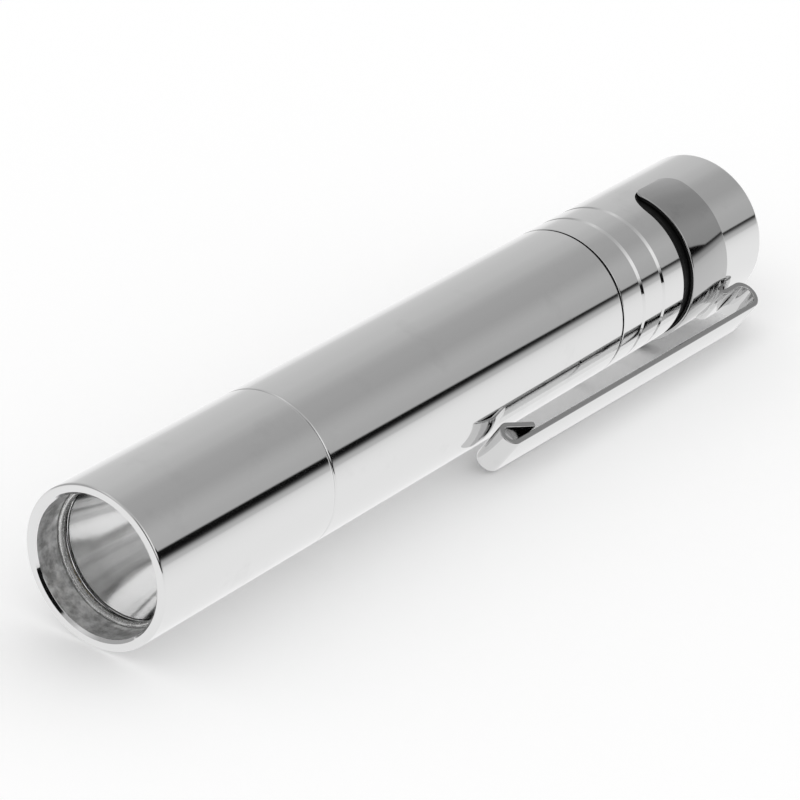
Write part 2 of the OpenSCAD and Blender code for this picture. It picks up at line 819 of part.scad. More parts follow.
// Rubber button: a flange held in the cap and a hollow dome in its rear hole
module tail_boot() {
    inner_r = boot_r - boot_wall;
    color("#202020")
        laid_down()
            union() {
                rotate_extrude()
                    polygon(concat(
                        [[inner_r, boot_z], [switch_r, boot_z], [switch_r, rear_wall_z],
                            [boot_r, rear_wall_z]],
                        arc([boot_r - boot_round, boot_top_z - boot_round], boot_round, 0, 90, edge_steps),
                        [[0, boot_top_z], [0, boot_ceiling_z], [inner_r, boot_ceiling_z]]));
                rod(boot_nub_z, boot_top_z - boot_round, boot_nub_d / 2);
            }
}

// Directions along and square to the strip, for a heading measured from z toward the outside
function ahead(heading) = [sin(heading), cos(heading)];
function outward(heading) = [cos(heading), -sin(heading)];

// Places and headings through one bend of the strip
function bend_places(start, heading, mean_r, angle) =
    let (
        centre = start + sign(angle) * mean_r * outward(heading),
        steps = ceil(abs(angle) / bend_step)
    )
    [for (i = [0:steps])
        let (turned = heading + angle * i / steps)
        [centre - sign(angle) * mean_r * outward(turned), turned]];

// Places and headings along the strip, through a list of moves: a bend's mean radius, its angle
// and the length of the flat that follows
function strip_places(start, heading, moves, i = 0) =
    i == len(moves) ? [] :
    let (
        bend = bend_places(start, heading, moves[i][0], moves[i][1]),
        bent = bend[len(bend) - 1],
        flat_end = bent[0] + moves[i][2] * ahead(bent[1])
    )
    concat(bend, [[flat_end, bent[1]]], strip_places(flat_end, bent[1], moves, i + 1));

// Side view of the strip, as thick as its sheet all along
function strip_outline(places) = concat(
    [for (place = places) place[0] - strip_t / 2 * outward(place[1])],
    [for (i = [len(places) - 1:-1:0]) places[i][0] + strip_t / 2 * outward(places[i][1])]);

// One bent strip: band, step, neck, U bend, long arm and rolled nose
module clip() {
    step_start = [strip_mid_r, band_end_z - step_lead];
    moves = [
        [step_bend_r, step_slope, step_flat_len],
        [step_bend_r, -step_slope, neck_flat_len],
        [u_bend_r, 180 + arm_lean, arm_len],
        [nose_bend_r, 180 + nose_tilt - arm_lean, nose_leg_len]];
    color("lightgray")
        laid_down()
            rotate([0, 0, -lie_angle]) {
                curved_plate(band_r, band_r + strip_t, band_z, band_end_z, band_reach,
                    band_front_corner, band_rear_corner);
                difference() {
                    rotate([90, 0, 0])
                        linear_extrude(height = strip_w, center = true)
                            polygon(strip_outline(strip_places(step_start, 0, moves)));
                    rod(band_z, band_end_z - root_lap, neck_mid_r + strip_t / 2);
                }
            }
}

head_shell();
lens_o_ring();
lens();
reflector();
led_gasket();
led_board();
led_emitter();
led_dome();
pill();
led_leads();
driver_board();
driver_parts();
driver_contact();
barrel();
head_o_ring();
tail_o_ring();
battery_can();
battery_sleeve();
battery_nub();
battery_insulator();
tail_cap();
retaining_ring();
switch_board();
battery_spring();
switch_carrier();
switch_housing();
switch_terminals();
switch_plunger();
contact_bridge();
return_spring();
tail_boot();
clip();
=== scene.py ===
"""Looks of a steel penlight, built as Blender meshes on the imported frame."""

import math

import bmesh
import bpy
from bpy.props import FloatProperty, FloatVectorProperty, IntProperty, PointerProperty
from mathutils import Matrix, Vector
from mathutils.geometry import delaunay_2d_cdt


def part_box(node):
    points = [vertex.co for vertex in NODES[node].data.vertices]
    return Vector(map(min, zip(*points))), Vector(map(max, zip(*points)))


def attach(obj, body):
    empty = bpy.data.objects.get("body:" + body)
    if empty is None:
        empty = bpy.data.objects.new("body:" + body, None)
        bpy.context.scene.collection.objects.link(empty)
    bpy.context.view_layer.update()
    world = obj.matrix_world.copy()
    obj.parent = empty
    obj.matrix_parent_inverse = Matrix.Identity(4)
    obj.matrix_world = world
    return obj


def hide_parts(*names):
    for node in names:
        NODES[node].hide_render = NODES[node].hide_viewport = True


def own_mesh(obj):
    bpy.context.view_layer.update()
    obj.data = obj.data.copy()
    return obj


bl_info = {
    "name": "Penlight",
    "version": (1, 0, 0),
    "blender": (4, 5, 0),
    "location": "View3D > Sidebar > Penlight",
    "description": "Builds the visible surfaces of a steel penlight with a clip",
    "category": "Object",
}

MM = 0.001
TINY = 1e-9  # A length below this counts as none
QUARTER = math.pi / 2
BLACK, WHITE = (0.0, 0.0, 0.0, 1.0), (1.0, 1.0, 1.0, 1.0)

# Depth of a surface's relief
FINE_RELIEF, RELIEF, COARSE_RELIEF = 0.01 * MM, 0.02 * MM, 0.03 * MM

# Rounded corners of a turned outline
ARC_STEPS = 5
ARC_SHARE = 0.45  # Largest share of a side that one round takes up
SUPPORT = 0.08 * MM  # From a side's end to the point that keeps its shading flat

# Threads
THREAD_FILL = 0.55  # Width of a thread's ridge as a share of the pitch

# Ring in front of the glass
RING_STEPS = 24
RING_SLIMNESS = 0.7  # Width of its section by the thickness

# Band of the clip, and its groove in the cap
CORNER_STEPS, BAND_STEPS = 12, 40
LIP_STEPS, FOOT_STEPS = 4, 3
GROOVE_MARGIN = 0.6 * MM  # Skin that is made with the groove, before and after it
MERGE = 0.001 * MM  # Points nearer than this are joined

# Strip of the clip
BEND_STEP = math.radians(4)
EDGE_STEPS = 4
LEAD = 0.1 * MM  # From a flat's end to the point that keeps its shading flat
# Painted shade: the faces told apart here take darker copies of the strip's steel
SIDE_ON, BACK_ON = 0.6, -0.9  # Cosines that tell the strip's sides and back from its outer face

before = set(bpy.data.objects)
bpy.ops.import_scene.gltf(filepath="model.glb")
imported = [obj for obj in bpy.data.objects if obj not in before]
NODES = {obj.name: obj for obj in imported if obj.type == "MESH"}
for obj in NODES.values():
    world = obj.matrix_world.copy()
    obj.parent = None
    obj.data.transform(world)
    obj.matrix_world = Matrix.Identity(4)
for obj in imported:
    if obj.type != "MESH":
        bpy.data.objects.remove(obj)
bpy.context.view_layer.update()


def span(node):
    """First and last place of a node along the light's axis."""
    low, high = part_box(node)
    return low[0], high[0]


def reach(node):
    """Outer radius of a round node."""
    low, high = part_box(node)
    return (high[2] - low[2]) / 2


# The light lies along X with its rim at the low end
HEAD_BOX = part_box("head_shell")
AXIS_Y = (HEAD_BOX[0][1] + HEAD_BOX[1][1]) / 2
AXIS_Z = (HEAD_BOX[0][2] + HEAD_BOX[1][2]) / 2
BODY_R = reach("head_shell")
RIM_X, HEAD_END_X = span("head_shell")
CAP_X, TAIL_X = span("tail_cap")
NECK_X, NECK_END_X = span("barrel")


def mm(label, text, value):
    """A size that a user can change, given in millimetres and kept in metres."""
    return FloatProperty(
        name=label, description=text, default=value * MM, min=0.0, max=0.1, precision=5,
        unit="LENGTH",
    )


def degrees(label, text, value):
    """An angle that a user can change, given in degrees and kept in radians."""
    return FloatProperty(
        name=label, description=text, default=math.radians(value), subtype="ANGLE",
    )


def number(label, text, value, low=0.0, high=1.0):
    """A plain amount that a user can change."""
    return FloatProperty(
        name=label, description=text, default=value, min=low, max=high, precision=3,
    )


def tint(label, text, *value):
    """A colour that a user can change, given as one grey level or as red, green and blue."""
    return FloatVectorProperty(
        name=label, description=text, default=value * (3 // len(value)), min=0.0, max=1.0,
        size=3, subtype="COLOR",
    )


class BodySizes(bpy.types.PropertyGroup):
    """Turned body: head, barrel and tail cap."""

    segments: IntProperty(
        name="Segments", description="Sides of a turned surface", default=256, min=32, max=512,
    )
    edge_round: mm("Edge round", "Small round on a turned edge", 0.06)
    rim_round: mm("Rim round", "Outer round of the rim", 0.2)
    rim_bevel: mm("Rim bevel", "Bevel at the mouth of the bore", 0.25)
    bore_r: mm("Bore radius", "Bore of the head in front of the threads", 6.05)
    ring_seat: mm("Ring seat", "Depth of the groove for the glass's ring", 0.06)
    thread_r: mm("Thread radius", "Crest of the threads inside the head and the cap", 6.35)
    neck_r: mm("Neck radius", "Crest of the threads on the barrel's necks", 6.3)
    tube_r: mm("Tube radius", "Bore of the barrel", 5.33)
    thread_depth: mm("Thread depth", "Depth of the threads", 0.3)
    thread_pitch: mm("Thread pitch", "Advance of the threads in one turn", 1.0)
    crest_gap: mm("Crest gap", "Space left over the crest of a neck's thread", 0.05)
    thread_land: mm("Thread land", "Plain neck left at each end of a thread", 0.3)
    head_seam: mm("Head seam", "Bevel of the seam between the head and the barrel", 0.2)
    cap_seam: mm("Cap seam", "Bevel of the seam between the barrel and the cap", 0.07)
    # Painted shade: the slot's faces take the near-black recess shade
    seam_slot_w: mm("Seam slot width", "Width of the dark slot in front of the cap", 0.26)
    seam_slot_depth: mm("Seam slot depth", "Depth of the dark slot in front of the cap", 0.22)
    seal_groove_w: mm("Seal groove width", "Width of a seal's groove", 0.8)
    seal_groove_depth: mm("Seal groove depth", "Depth of a seal's groove", 0.59)
    seal_land: mm("Seal land", "Neck between a seal's groove and the shoulder", 0.7)


class CapSizes(bpy.types.PropertyGroup):
    """Grooves and bores of the tail cap, and the rubber button."""

    fine_from: mm("Fine groove place", "From the front of the cap to the first fine groove", 3.15)
    fine_pitch: mm("Fine groove pitch", "From one fine groove to the next", 3.2)
    fine_depth: mm("Fine groove depth", "Depth of a fine groove", 0.22)
    clip_from: mm("Clip groove place", "From the front of the cap to the clip's groove", 9.6)
    clip_front_gap: mm("Groove front gap", "From the groove's front wall to the clip's band", 1.35)
    clip_rear_gap: mm("Groove rear gap", "From the clip's band to the groove's rear wall", 0.25)
    clip_end_gap: mm("Groove end gap", "From an end of the clip's band to the groove's end", 0.15)
    clip_groove_depth: mm("Clip groove depth", "Depth of the clip's groove", 0.25)
    clip_groove_taper: number(
        "Clip groove taper",
        "Roundness of the groove's front corners beyond the band's, as a share of the gap",
        1.3, 0.0, 2.0,
    )
    clip_groove_round: mm("Clip groove round", "Round on the edge of the clip's groove", 0.02)
    clip_groove_row: mm("Clip groove row", "Spacing of the points round the clip's groove", 0.4)
    tail_round: mm("Tail round", "Round at the end of the tail", 0.35)
    inner_r: mm("Inner bore radius", "Bore for the switch", 5.6)
    shoulder_gap: mm("Shoulder gap", "Air between the barrel's neck and the shoulder", 0.15)
    button_hole_r: mm("Button hole radius", "Hole in the cap's rear wall", 4.85)
    boot_r: mm("Button radius", "Outer radius of the rubber button", 4.75)
    boot_wall: mm("Button wall", "Wall of the rubber button", 0.7)
    boot_top: mm("Button top", "Thickness of the button's top", 0.9)
    boot_round: mm("Button round", "Round at the edge of the button's top", 0.6)
    boot_flange: mm("Button flange", "Thickness of the button's flange", 1.0)
    boot_nub_r: mm("Button nub radius", "Radius of the nub under the button's top", 1.5)
    boot_nub_h: mm("Button nub height", "Height of the nub under the button's top", 0.3)


class LensSizes(bpy.types.PropertyGroup):
    """Glass, its ring and the reflector."""

    glass_bevel: mm("Glass bevel", "Bevel at the edge of the glass", 0.12)
    foot_r: mm("Foot radius", "Lamp's hole in the reflector", 1.75)
    cup_lip: mm("Cup lip", "Width of the flat edge round the reflector's mouth", 0.2)
    cup_wall: mm("Cup wall", "Wall at the reflector's foot", 1.2)
    cup_band: mm("Cup band", "Straight band behind the reflector's mouth", 1.6)
    cup_steps: IntProperty(
        name="Cup steps", description="Rings of the reflector's curve", default=48, min=8, max=96,
    )


class ClipSizes(bpy.types.PropertyGroup):
    """Spring-steel clip bent from one strip."""

    strip_t: mm("Strip thickness", "Thickness of the strip", 0.5)
    strip_w: mm("Strip width", "Width of the strip", 4.1)
    strip_round: mm("Strip round", "Round along the strip's edges", 0.13)
    band_w: mm("Band width", "Width of the band round the cap", 5.6)
    band_gap: mm("Band gap", "Air between the groove's floor and the band", 0.03)
    band_reach: degrees("Band reach", "Angle of the band on each side of the arm", 123)
    front_corner: mm("Front corner", "Corner round at the band's front", 1.0)
    rear_corner: mm("Rear corner", "Corner round at the band's rear", 1.8)
    lie: degrees("Lie angle", "Turn of the clip from straight down", 58.088)
    step_lead: mm("Step lead", "From the step's first bend to the band's rear edge", 0.45)
    step_bend_r: mm("Step bend radius", "Mean radius of the step's bends", 0.5)
    step_slope: degrees("Step slope", "Slope of the step", 38)
    neck_lift: mm("Neck lift", "Air under the neck of the strip", 0.08)
    neck_len: mm("Neck length", "Flat between the step and the loop", 1.74)
    rear_gap: mm("Rear gap", "Air under the arm at the loop", 2.45)
    arm_len: mm("Arm length", "Straight length of the arm", 37.1)
    nose_gap: mm("Nose gap", "Air under the nose", 0.2)
    nose_bend_r: mm("Nose bend radius", "Mean radius of the nose's bend", 0.9)
    nose_tilt: degrees("Nose tilt", "Tilt of the nose's return leg", 23)
    tip_gap: mm("Tip gap", "Air between the return leg's end and the arm", 0.08)


class SpringSizes(bpy.types.PropertyGroup):
    """Two wound springs."""

    cell_wire: mm("Cell spring wire", "Wire of the cell's spring", 0.5)
    cell_curls: number("Cell spring curls", "Curls of the cell's spring", 4.0, 1.0, 12.0)
    cell_tip_r: mm("Cell spring tip radius", "Outer radius at the cell", 2.0)
    return_wire: mm("Return spring wire", "Wire of the return spring", 0.25)
    return_curls: number("Return spring curls", "Curls of the return spring", 4.0, 1.0, 12.0)


class Finishes(bpy.types.PropertyGroup):
    """Colours of the materials."""

    steel: tint("Steel", "Polished body", 0.75)
    clip_steel: tint("Clip steel", "Clip's band", 0.47)
    # Painted light: the strip's tone is set well above the band's so that its inner face looks lit;
    # its back and edges take darker shares of it as painted shade
    strip: tint("Strip", "Clip's arm", 0.92)
    mirror: tint("Mirror", "Reflector's coating", 0.96)
    glass: tint("Glass", "Front glass", 0.98)
    # Painted shade: near-black tone, with faint streaks, of the floors and walls of the clip's
    # groove and the seam's slot
    recess: tint("Recess", "Streaks on the dark floor of a recess", 0.02)
    pale_rubber: tint("Pale rubber", "Ring in front of the glass", 0.93, 0.93, 0.92)
    black_rubber: tint("Black rubber", "Seals and button", 0.022, 0.022, 0.023)
    brass: tint("Brass", "Carrier, contacts and retaining ring", 0.72, 0.5, 0.2)
    board_green: tint("Board green", "Coating of the round boards", 0.012, 0.09, 0.04)
    board_metal: tint("Board metal", "Metal board under the lamp", 0.8, 0.8, 0.79)
    dark_parts: tint("Dark parts", "Dark inner parts", 0.03, 0.03, 0.032)
    white_plastic: tint("White plastic", "Washer and lamp gasket", 0.78, 0.78, 0.75)
    red_plastic: tint("Red plastic", "Button's plunger", 0.42, 0.03, 0.02)
    lamp_yellow: tint("Lamp yellow", "Phosphor under the lamp's dome", 0.86, 0.62, 0.08)
    cell_steel: tint("Cell steel", "Cell's bare metal", 0.7, 0.7, 0.69)
    cell_film: tint("Cell film", "Cell's printed film", 0.03, 0.04, 0.06)
    spring_steel: tint("Spring steel", "Wound springs", 0.55, 0.55, 0.54)


class StageSizes(bpy.types.PropertyGroup):
    """Floor, surroundings and camera."""

    floor_half: FloatProperty(
        name="Floor half width", description="Half the side of the floor", default=3.0,
        min=0.1, max=20.0, precision=5, unit="LENGTH",
    )
    focal: FloatProperty(
        name="Focal length", description="Camera lens in millimetres", default=173.66, min=10.0,
    )
    sensor: FloatProperty(
        name="Sensor width", description="Camera sensor in millimetres", default=36.0, min=1.0,
    )
    floor_white: number(
        "Floor white", "Share of the floor that a polished surface sees without shadow", 0.92,
    )
    fill: number("Fill", "Level of the light that falls on matt surfaces", 1.0, 0.0, 4.0)


def rounded(corners):
    """Outline of a closed ring from its (place, radius, round) corners, with arcs and support
    points."""
    count = len(corners)
    arcs = []
    for i, (x, r, bend) in enumerate(corners):
        here = Vector((x, r))
        back = Vector(corners[i - 1][:2]) - here
        on = Vector(corners[(i + 1) % count][:2]) - here
        if bend <= 0 or min(back.length, on.length) < TINY:
            arcs.append([here])
            continue
        half = back.angle(on) / 2
        run = min(bend / math.tan(half), ARC_SHARE * min(back.length, on.length))
        size = run * math.tan(half)
        u, v = back.normalized(), on.normalized()
        middle = here + (u + v).normalized() * (size / math.sin(half))
        first, last = here + u * run - middle, here + v * run - middle
        sweep = first.angle_signed(last)
        arcs.append([
            middle + Matrix.Rotation(-sweep * k / ARC_STEPS, 2) @ first
            for k in range(ARC_STEPS + 1)
        ])
    points = []
    for i, arc in enumerate(arcs):
        points.extend(arc)
        a, b = arc[-1], arcs[(i + 1) % count][0]
        if (b - a).length > 4 * SUPPORT:
            way = (b - a).normalized() * SUPPORT
            points.extend([a + way, b - way])
    return [(p.x, p.y) for p in points]


def on_axis(x, r, angle):
    """World place at a distance along the axis, a radius and an angle from straight down."""
    return Vector((x, AXIS_Y + r * math.sin(angle), AXIS_Z - r * math.cos(angle)))


def from_axis(point):
    return math.hypot(point.y - AXIS_Y, point.z - AXIS_Z)


def finish_mesh(name, mesh, materials, body, replaced, sharp=None, exact=None):
    """Turns a bmesh into a piece that rides on a body and takes its finish from a slot; exact
    holds the known normals of some of its vertices."""
    bmesh.ops.recalc_face_normals(mesh, faces=mesh.faces)
    if exact:
        mesh.verts.index_update()
        known = {vert.index: normal for vert, normal in exact.items() if vert.is_valid}
    data = bpy.data.meshes.new(name)
    mesh.to_mesh(data)
    mesh.free()
    for polygon in data.polygons:
        polygon.use_smooth = True
    if sharp is not None:
        data.set_sharp_from_angle(angle=sharp)
    if exact:
        data.normals_split_custom_set_from_vertices(
            [known.get(vert.index) or vert.normal.copy() for vert in data.vertices])
    for material in materials:
        data.materials.append(material)
    piece = bpy.data.objects.new(name, data)
    bpy.context.scene.collection.objects.link(piece)
    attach(piece, body)
    if replaced:
        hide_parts(*replaced)
    return piece


def turned_mesh(outline, segments, closed=True, phase=0.0):
    """Surface of revolution round the light's axis; phase is its first point's angle from
    straight down."""
    mesh = bmesh.new()
    rings = []
    for x, r in outline:
        if r < TINY:
            rings.append([mesh.verts.new(on_axis(x, 0, 0))])
        else:
            turns = [phase + 2 * math.pi * k / segments for k in range(segments)]
            rings.append([mesh.verts.new(on_axis(x, r, turn)) for turn in turns])
    pairs = list(zip(rings, rings[1:]))
    if closed:
        pairs.append((rings[-1], rings[0]))
    for a, b in pairs:
        for k in range(segments):
            n = (k + 1) % segments
            corners = [a[k % len(a)], a[n % len(a)], b[n % len(b)], b[k % len(b)]]
            corners = list(dict.fromkeys(corners))
            if len(corners) > 2:
                mesh.faces.new(corners)
    return mesh


def turned(name, outline, materials, body, replaced, closed=True, choose=None,
           segments=None):
    """A turned piece; choose picks a material index from a face's place and radius."""
    count = segments or bpy.context.scene.penlight_body.segments
    mesh = turned_mesh(outline, count, closed)
    if choose:
        for face in mesh.faces:
            middle = face.calc_center_median()
            face.material_index = choose(middle.x, from_axis(middle))
    return finish_mesh(name, mesh, materials, body, replaced)


def swept_mesh(loops):
    """Skin through loops of points, with flat ends."""
    mesh = bmesh.new()
    rings = [[mesh.verts.new(p) for p in loop] for loop in loops]
    for a, b in zip(rings, rings[1:]):
        for k in range(len(a)):
            n = (k + 1) % len(a)
            mesh.faces.new([a[k], a[n], b[n], b[k]])
    mesh.faces.new(rings[0])
    mesh.faces.new(rings[-1])
    return mesh


def scaled(colour, share):
    return tuple(min(1.0, c * share) for c in colour)


def opaque(colour, share=1.0):
    return (*scaled(colour, share), 1.0)


def grey(level):
    return (level, level, level, 1.0)


class Shader:
    """Adds nodes to the tree of a material, a world or a group."""

    def __init__(self, tree):
        self.tree = tree

    def add(self, kind, inputs=None, **settings):
        node = self.tree.nodes.new(kind)
        for key, value in settings.items():
            setattr(node, key, value)
        for key, value in (inputs or {}).items():
            self.plug(node, key, value)
        return node

    def plug(self, node, key, value):
        """Links a socket to another, or sets its value."""
        if isinstance(value, bpy.types.NodeSocket):
            self.tree.links.new(value, node.inputs[key])
        else:
            node.inputs[key].default_value = value

    def math(self, operation, a, b=0.0, clamp=False):
        node = self.add("ShaderNodeMath", {0: a, 1: b}, operation=operation, use_clamp=clamp)
        return node.outputs[0]

    def plus(self, a, b):
        return self.math("ADD", a, b)

    def minus(self, a, b):
        return self.math("SUBTRACT", a, b)

    def times(self, a, b):
        return self.math("MULTIPLY", a, b)

    def remap(self, value, low, high, to_low=0.0, to_high=1.0):
        ends = {"From Min": low, "From Max": high, "To Min": to_low, "To Max": to_high}
        return self.add("ShaderNodeMapRange", {"Value": value, **ends}).outputs["Result"]

    def noise(self, vector, scale, detail=2.0, rough=0.5):
        look = {"Scale": scale, "Detail": detail, "Roughness": rough}
        return self.add("ShaderNodeTexNoise", {"Vector": vector, **look}).outputs["Fac"]

    def ramp(self, value, stops):
        """Grey levels by place, as (place, level) stops."""
        node = self.add("ShaderNodeValToRGB", {"Fac": value})
        elements = node.color_ramp.elements
        while len(elements) < len(stops):
            elements.new(0.5)
        for element, (place, level) in zip(elements, stops):
            element.position = place
            element.color = grey(level)
        return node.outputs["Color"]

    def mix(self, share, a, b):
        """Colour between two colours; 0, 6 and 7 are the node's factor and colour sockets."""
        return self.add("ShaderNodeMix", data_type="RGBA", inputs={0: share, 6: a, 7: b}).outputs[2]

    def parts(self, vector):
        return self.add("ShaderNodeSeparateXYZ", {"Vector": vector}).outputs

    def round_place(self, vector):
        """Place along the light's axis and distance from it."""
        parts = self.parts(vector)
        across, up = self.minus(parts["Y"], AXIS_Y), self.minus(parts["Z"], AXIS_Z)
        square = self.plus(self.times(across, across), self.times(up, up))
        return parts["X"], self.math("SQRT", square)

    def close(self, **results):
        """Ends a group with one output for each number, and returns its tree."""
        for label in results:
            self.tree.interface.new_socket(
                label, in_out="OUTPUT", socket_type="NodeSocketFloat")
        end = self.tree.nodes.new("NodeGroupOutput")
        for label, value in results.items():
            self.plug(end, label, value)
        return self.tree


def group(name, **numbers):
    """Helper and inputs of a new shader group with a Vector and some numbers."""
    tree = bpy.data.node_groups.new(name, "ShaderNodeTree")
    tree.interface.new_socket("Vector", in_out="INPUT", socket_type="NodeSocketVector")
    for key, value in numbers.items():
        label = key.replace("_", " ")
        socket = tree.interface.new_socket(label, in_out="INPUT", socket_type="NodeSocketFloat")
        socket.default_value = value
    return Shader(tree), tree.nodes.new("NodeGroupInput").outputs


def handling_marks(name):
    """Faint finger smudges and hairlines, as masks and a height."""
    s, given = group(name, Patch_scale=160.0, Line_scale=900.0)
    place = given["Vector"]
    patches = s.noise(place, given["Patch scale"], 4.0, 0.6)
    smudge = s.remap(patches, 0.58, 0.74)
    stretch = {"Vector": place, "Scale": (0.06, 1.0, 1.0)}
    drawn_out = s.add("ShaderNodeMapping", stretch).outputs[0]
    turn = {"Vector": drawn_out, "Rotation": (0.0, 0.0, 0.5)}
    leaning = s.add("ShaderNodeMapping", turn).outputs[0]
    fibres = s.noise(leaning, given["Line scale"], 3.0, 0.7)
    lines = s.times(s.remap(fibres, 0.66, 0.72), s.remap(patches, 0.45, 0.6))
    return s.close(Smudge=smudge, Lines=lines, Height=s.plus(s.times(smudge, 0.3), lines))


def turning_marks(name):
    """Rings left by a lathe tool, as a mask that changes along the axis and with the radius."""
    s, given = group(name, Fineness=9000.0)
    along, radius = s.round_place(given["Vector"])
    place = s.add("ShaderNodeCombineXYZ", {"X": along, "Y": radius, "Z": 0.0}).outputs[0]
    rings = s.noise(place, given["Fineness"], 2.0, 0.6)
    patches = s.noise(given["Vector"], 900.0, 3.0, 0.6)
    return s.close(Mask=s.plus(s.times(rings, 0.65), s.times(patches, 0.35)))


def speckle(name):
    """Fine mottle of a moulded or cast surface, with slower clouds."""
    s, given = group(name, Scale=3000.0)
    cloud = s.noise(given["Vector"], s.times(given["Scale"], 0.12), 3.0, 0.6)
    return s.close(Mask=s.noise(given["Vector"], given["Scale"]), Cloud=cloud)


EFFECTS = {"Handling marks": handling_marks, "Turning marks": turning_marks, "Speckle": speckle}


class Finish(Shader):
    """One procedural material on a Principled shader."""

    def __init__(self, name, **constants):
        self.material = bpy.data.materials.new(name)
        self.material.use_nodes = True
        super().__init__(self.material.node_tree)
        self.surface = self.tree.nodes["Principled BSDF"]
        for key, value in constants.items():
            self.surface.inputs[key.replace("_", " ")].default_value = value
        self.place = self.add("ShaderNodeTexCoord").outputs["Object"]

    def effect(self, name, **numbers):
        """Outputs of a shared group, which is made on first use."""
        tree = bpy.data.node_groups.get(name) or EFFECTS[name](name)
        inputs = {key.replace("_", " "): value for key, value in numbers.items()}
        inputs["Vector"] = self.place
        return self.add("ShaderNodeGroup", inputs, node_tree=tree).outputs

    def set(self, key, value):
        self.plug(self.surface, key, value)

    def shade(self, mask, colour, first, second):
        """Base colour between two shares of one colour by a mask."""
        self.set("Base Color", self.mix(mask, opaque(colour, first), opaque(colour, second)))

    def bump(self, height, strength, distance=RELIEF):
        inputs = {"Height": height, "Strength": strength, "Distance": distance}
        self.set("Normal", self.add("ShaderNodeBump", inputs).outputs["Normal"])


def handled_steel(name, colour, patches, lines, dull, rough, smudge_rough=0.1, line_rough=0.0,
                  relief=0.05, level=1.0):
    """Polished steel with faint smudges and hairlines."""
    f = Finish(name, Metallic=1.0)
    marks = f.effect("Handling marks", Patch_scale=patches, Line_scale=lines)
    f.shade(marks["Smudge"], scaled(colour, level), 1.0, dull)
    roughness = f.plus(f.times(marks["Smudge"], smudge_rough), rough)
    if line_rough:
        roughness = f.plus(roughness, f.times(marks["Lines"], line_rough))
    f.set("Roughness", roughness)
    f.bump(marks["Height"], relief, FINE_RELIEF)


def ringed(name, colour, fineness, dark, rough, pale=1.0, relief=0.3, between=(0.3, 0.7),
           tone_from=None, metal=1.0, specular=0.5):
    """Turned surface with a lathe's fine rings, from dark to pale and from dull to smooth."""
    f = Finish(name, Metallic=metal, Specular_IOR_Level=specular)
    mask = f.effect("Turning marks", Fineness=fineness)["Mask"]
    f.shade(f.remap(mask, tone_from or between[0], between[1]), colour, dark, pale)
    f.set("Roughness", f.remap(mask, *between, *rough))
    f.bump(mask, relief)


def speckled(name, colour, rough=(0.4, 0.6), metal=0.0, scale=2500.0, relief=0.15):
    """Mottled surface of one of the inner pieces."""
    f = Finish(name, Metallic=metal)
    grain = f.effect("Speckle", Scale=scale)
    f.shade(f.remap(grain["Cloud"], 0.3, 0.7), colour, 0.85, 1.0)
    f.set("Roughness", f.remap(grain["Mask"], 0.3, 0.7, *rough))
    f.bump(grain["Mask"], relief)


def bored_steel(name, colour):
    """Dull grey bore with blotches, a few dark specks and faint rings, with painted light that
    makes one side brighter and smoother."""
    lit_side_to, lit_side_from = AXIS_Y - 4.5 * MM, AXIS_Y - 2.5 * MM
    f = Finish(name, Metallic=1.0)
    grain = f.effect("Speckle", Scale=9000.0)
    rings = f.effect("Turning marks", Fineness=5000.0)["Mask"]
    blotch = f.plus(f.times(grain["Cloud"], 0.8), f.times(rings, 0.2))
    specks = f.times(f.remap(grain["Mask"], 0.66, 0.72), f.remap(blotch, 0.52, 0.6))
    tone = f.mix(f.remap(blotch, 0.38, 0.6), opaque(colour, 1.3), opaque(colour, 0.75))
    tone = f.mix(specks, tone, opaque(colour, 0.35))
    # Painted light: across the axis, one side of the bore is blended to near white and made
    # smoother
    lit_side = f.remap(f.parts(f.place)["Y"], lit_side_to, lit_side_from, 1.0, 0.0)
    f.set("Base Color", f.mix(lit_side, tone, grey(0.97)))
    dull = f.remap(blotch, 0.35, 0.65, 0.42, 0.62)
    f.set("Roughness", f.minus(dull, f.times(lit_side, 0.3)))
    f.bump(blotch, 0.3)


def mirror_coating(name, colour):
    """Bright coating with a faint unevenness."""
    f = Finish(name, Metallic=1.0)
    cloud = f.effect("Speckle", Scale=1500.0)["Cloud"]
    f.shade(f.remap(cloud, 0.3, 0.7), colour, 0.94, 1.0)
    f.set("Roughness", f.remap(cloud, 0.3, 0.7, 0.05, 0.13))
    f.bump(cloud, 0.25, COARSE_RELIEF)


def clear_glass(name, colour):
    f = Finish(name, Transmission_Weight=1.0, IOR=1.47)
    grain = f.effect("Speckle", Scale=700.0)
    f.shade(grain["Cloud"], colour, 1.0, 0.99)
    f.set("Roughness", f.remap(grain["Mask"], 0.3, 0.7, 0.0, 0.02))


def coated_board(name, colour):
    """Coated board with straight copper tracks that show through."""
    track_colour, tracks_a_metre = (0.03, 0.17, 0.07, 1.0), 900.0
    f = Finish(name)
    wander = f.times(f.noise(f.place, 260.0, 0.0), 0.004)
    across = f.times(f.plus(f.parts(f.place)["Y"], wander), tracks_a_metre)
    fold = f.math("ABSOLUTE", f.minus(f.math("FRACT", across), 0.5))
    track = f.remap(fold, 0.28, 0.31)
    f.set("Base Color", f.mix(track, opaque(colour), track_colour))
    f.set("Roughness", f.remap(track, 0.0, 1.0, 0.32, 0.24))
    f.bump(track, 0.3, COARSE_RELIEF)


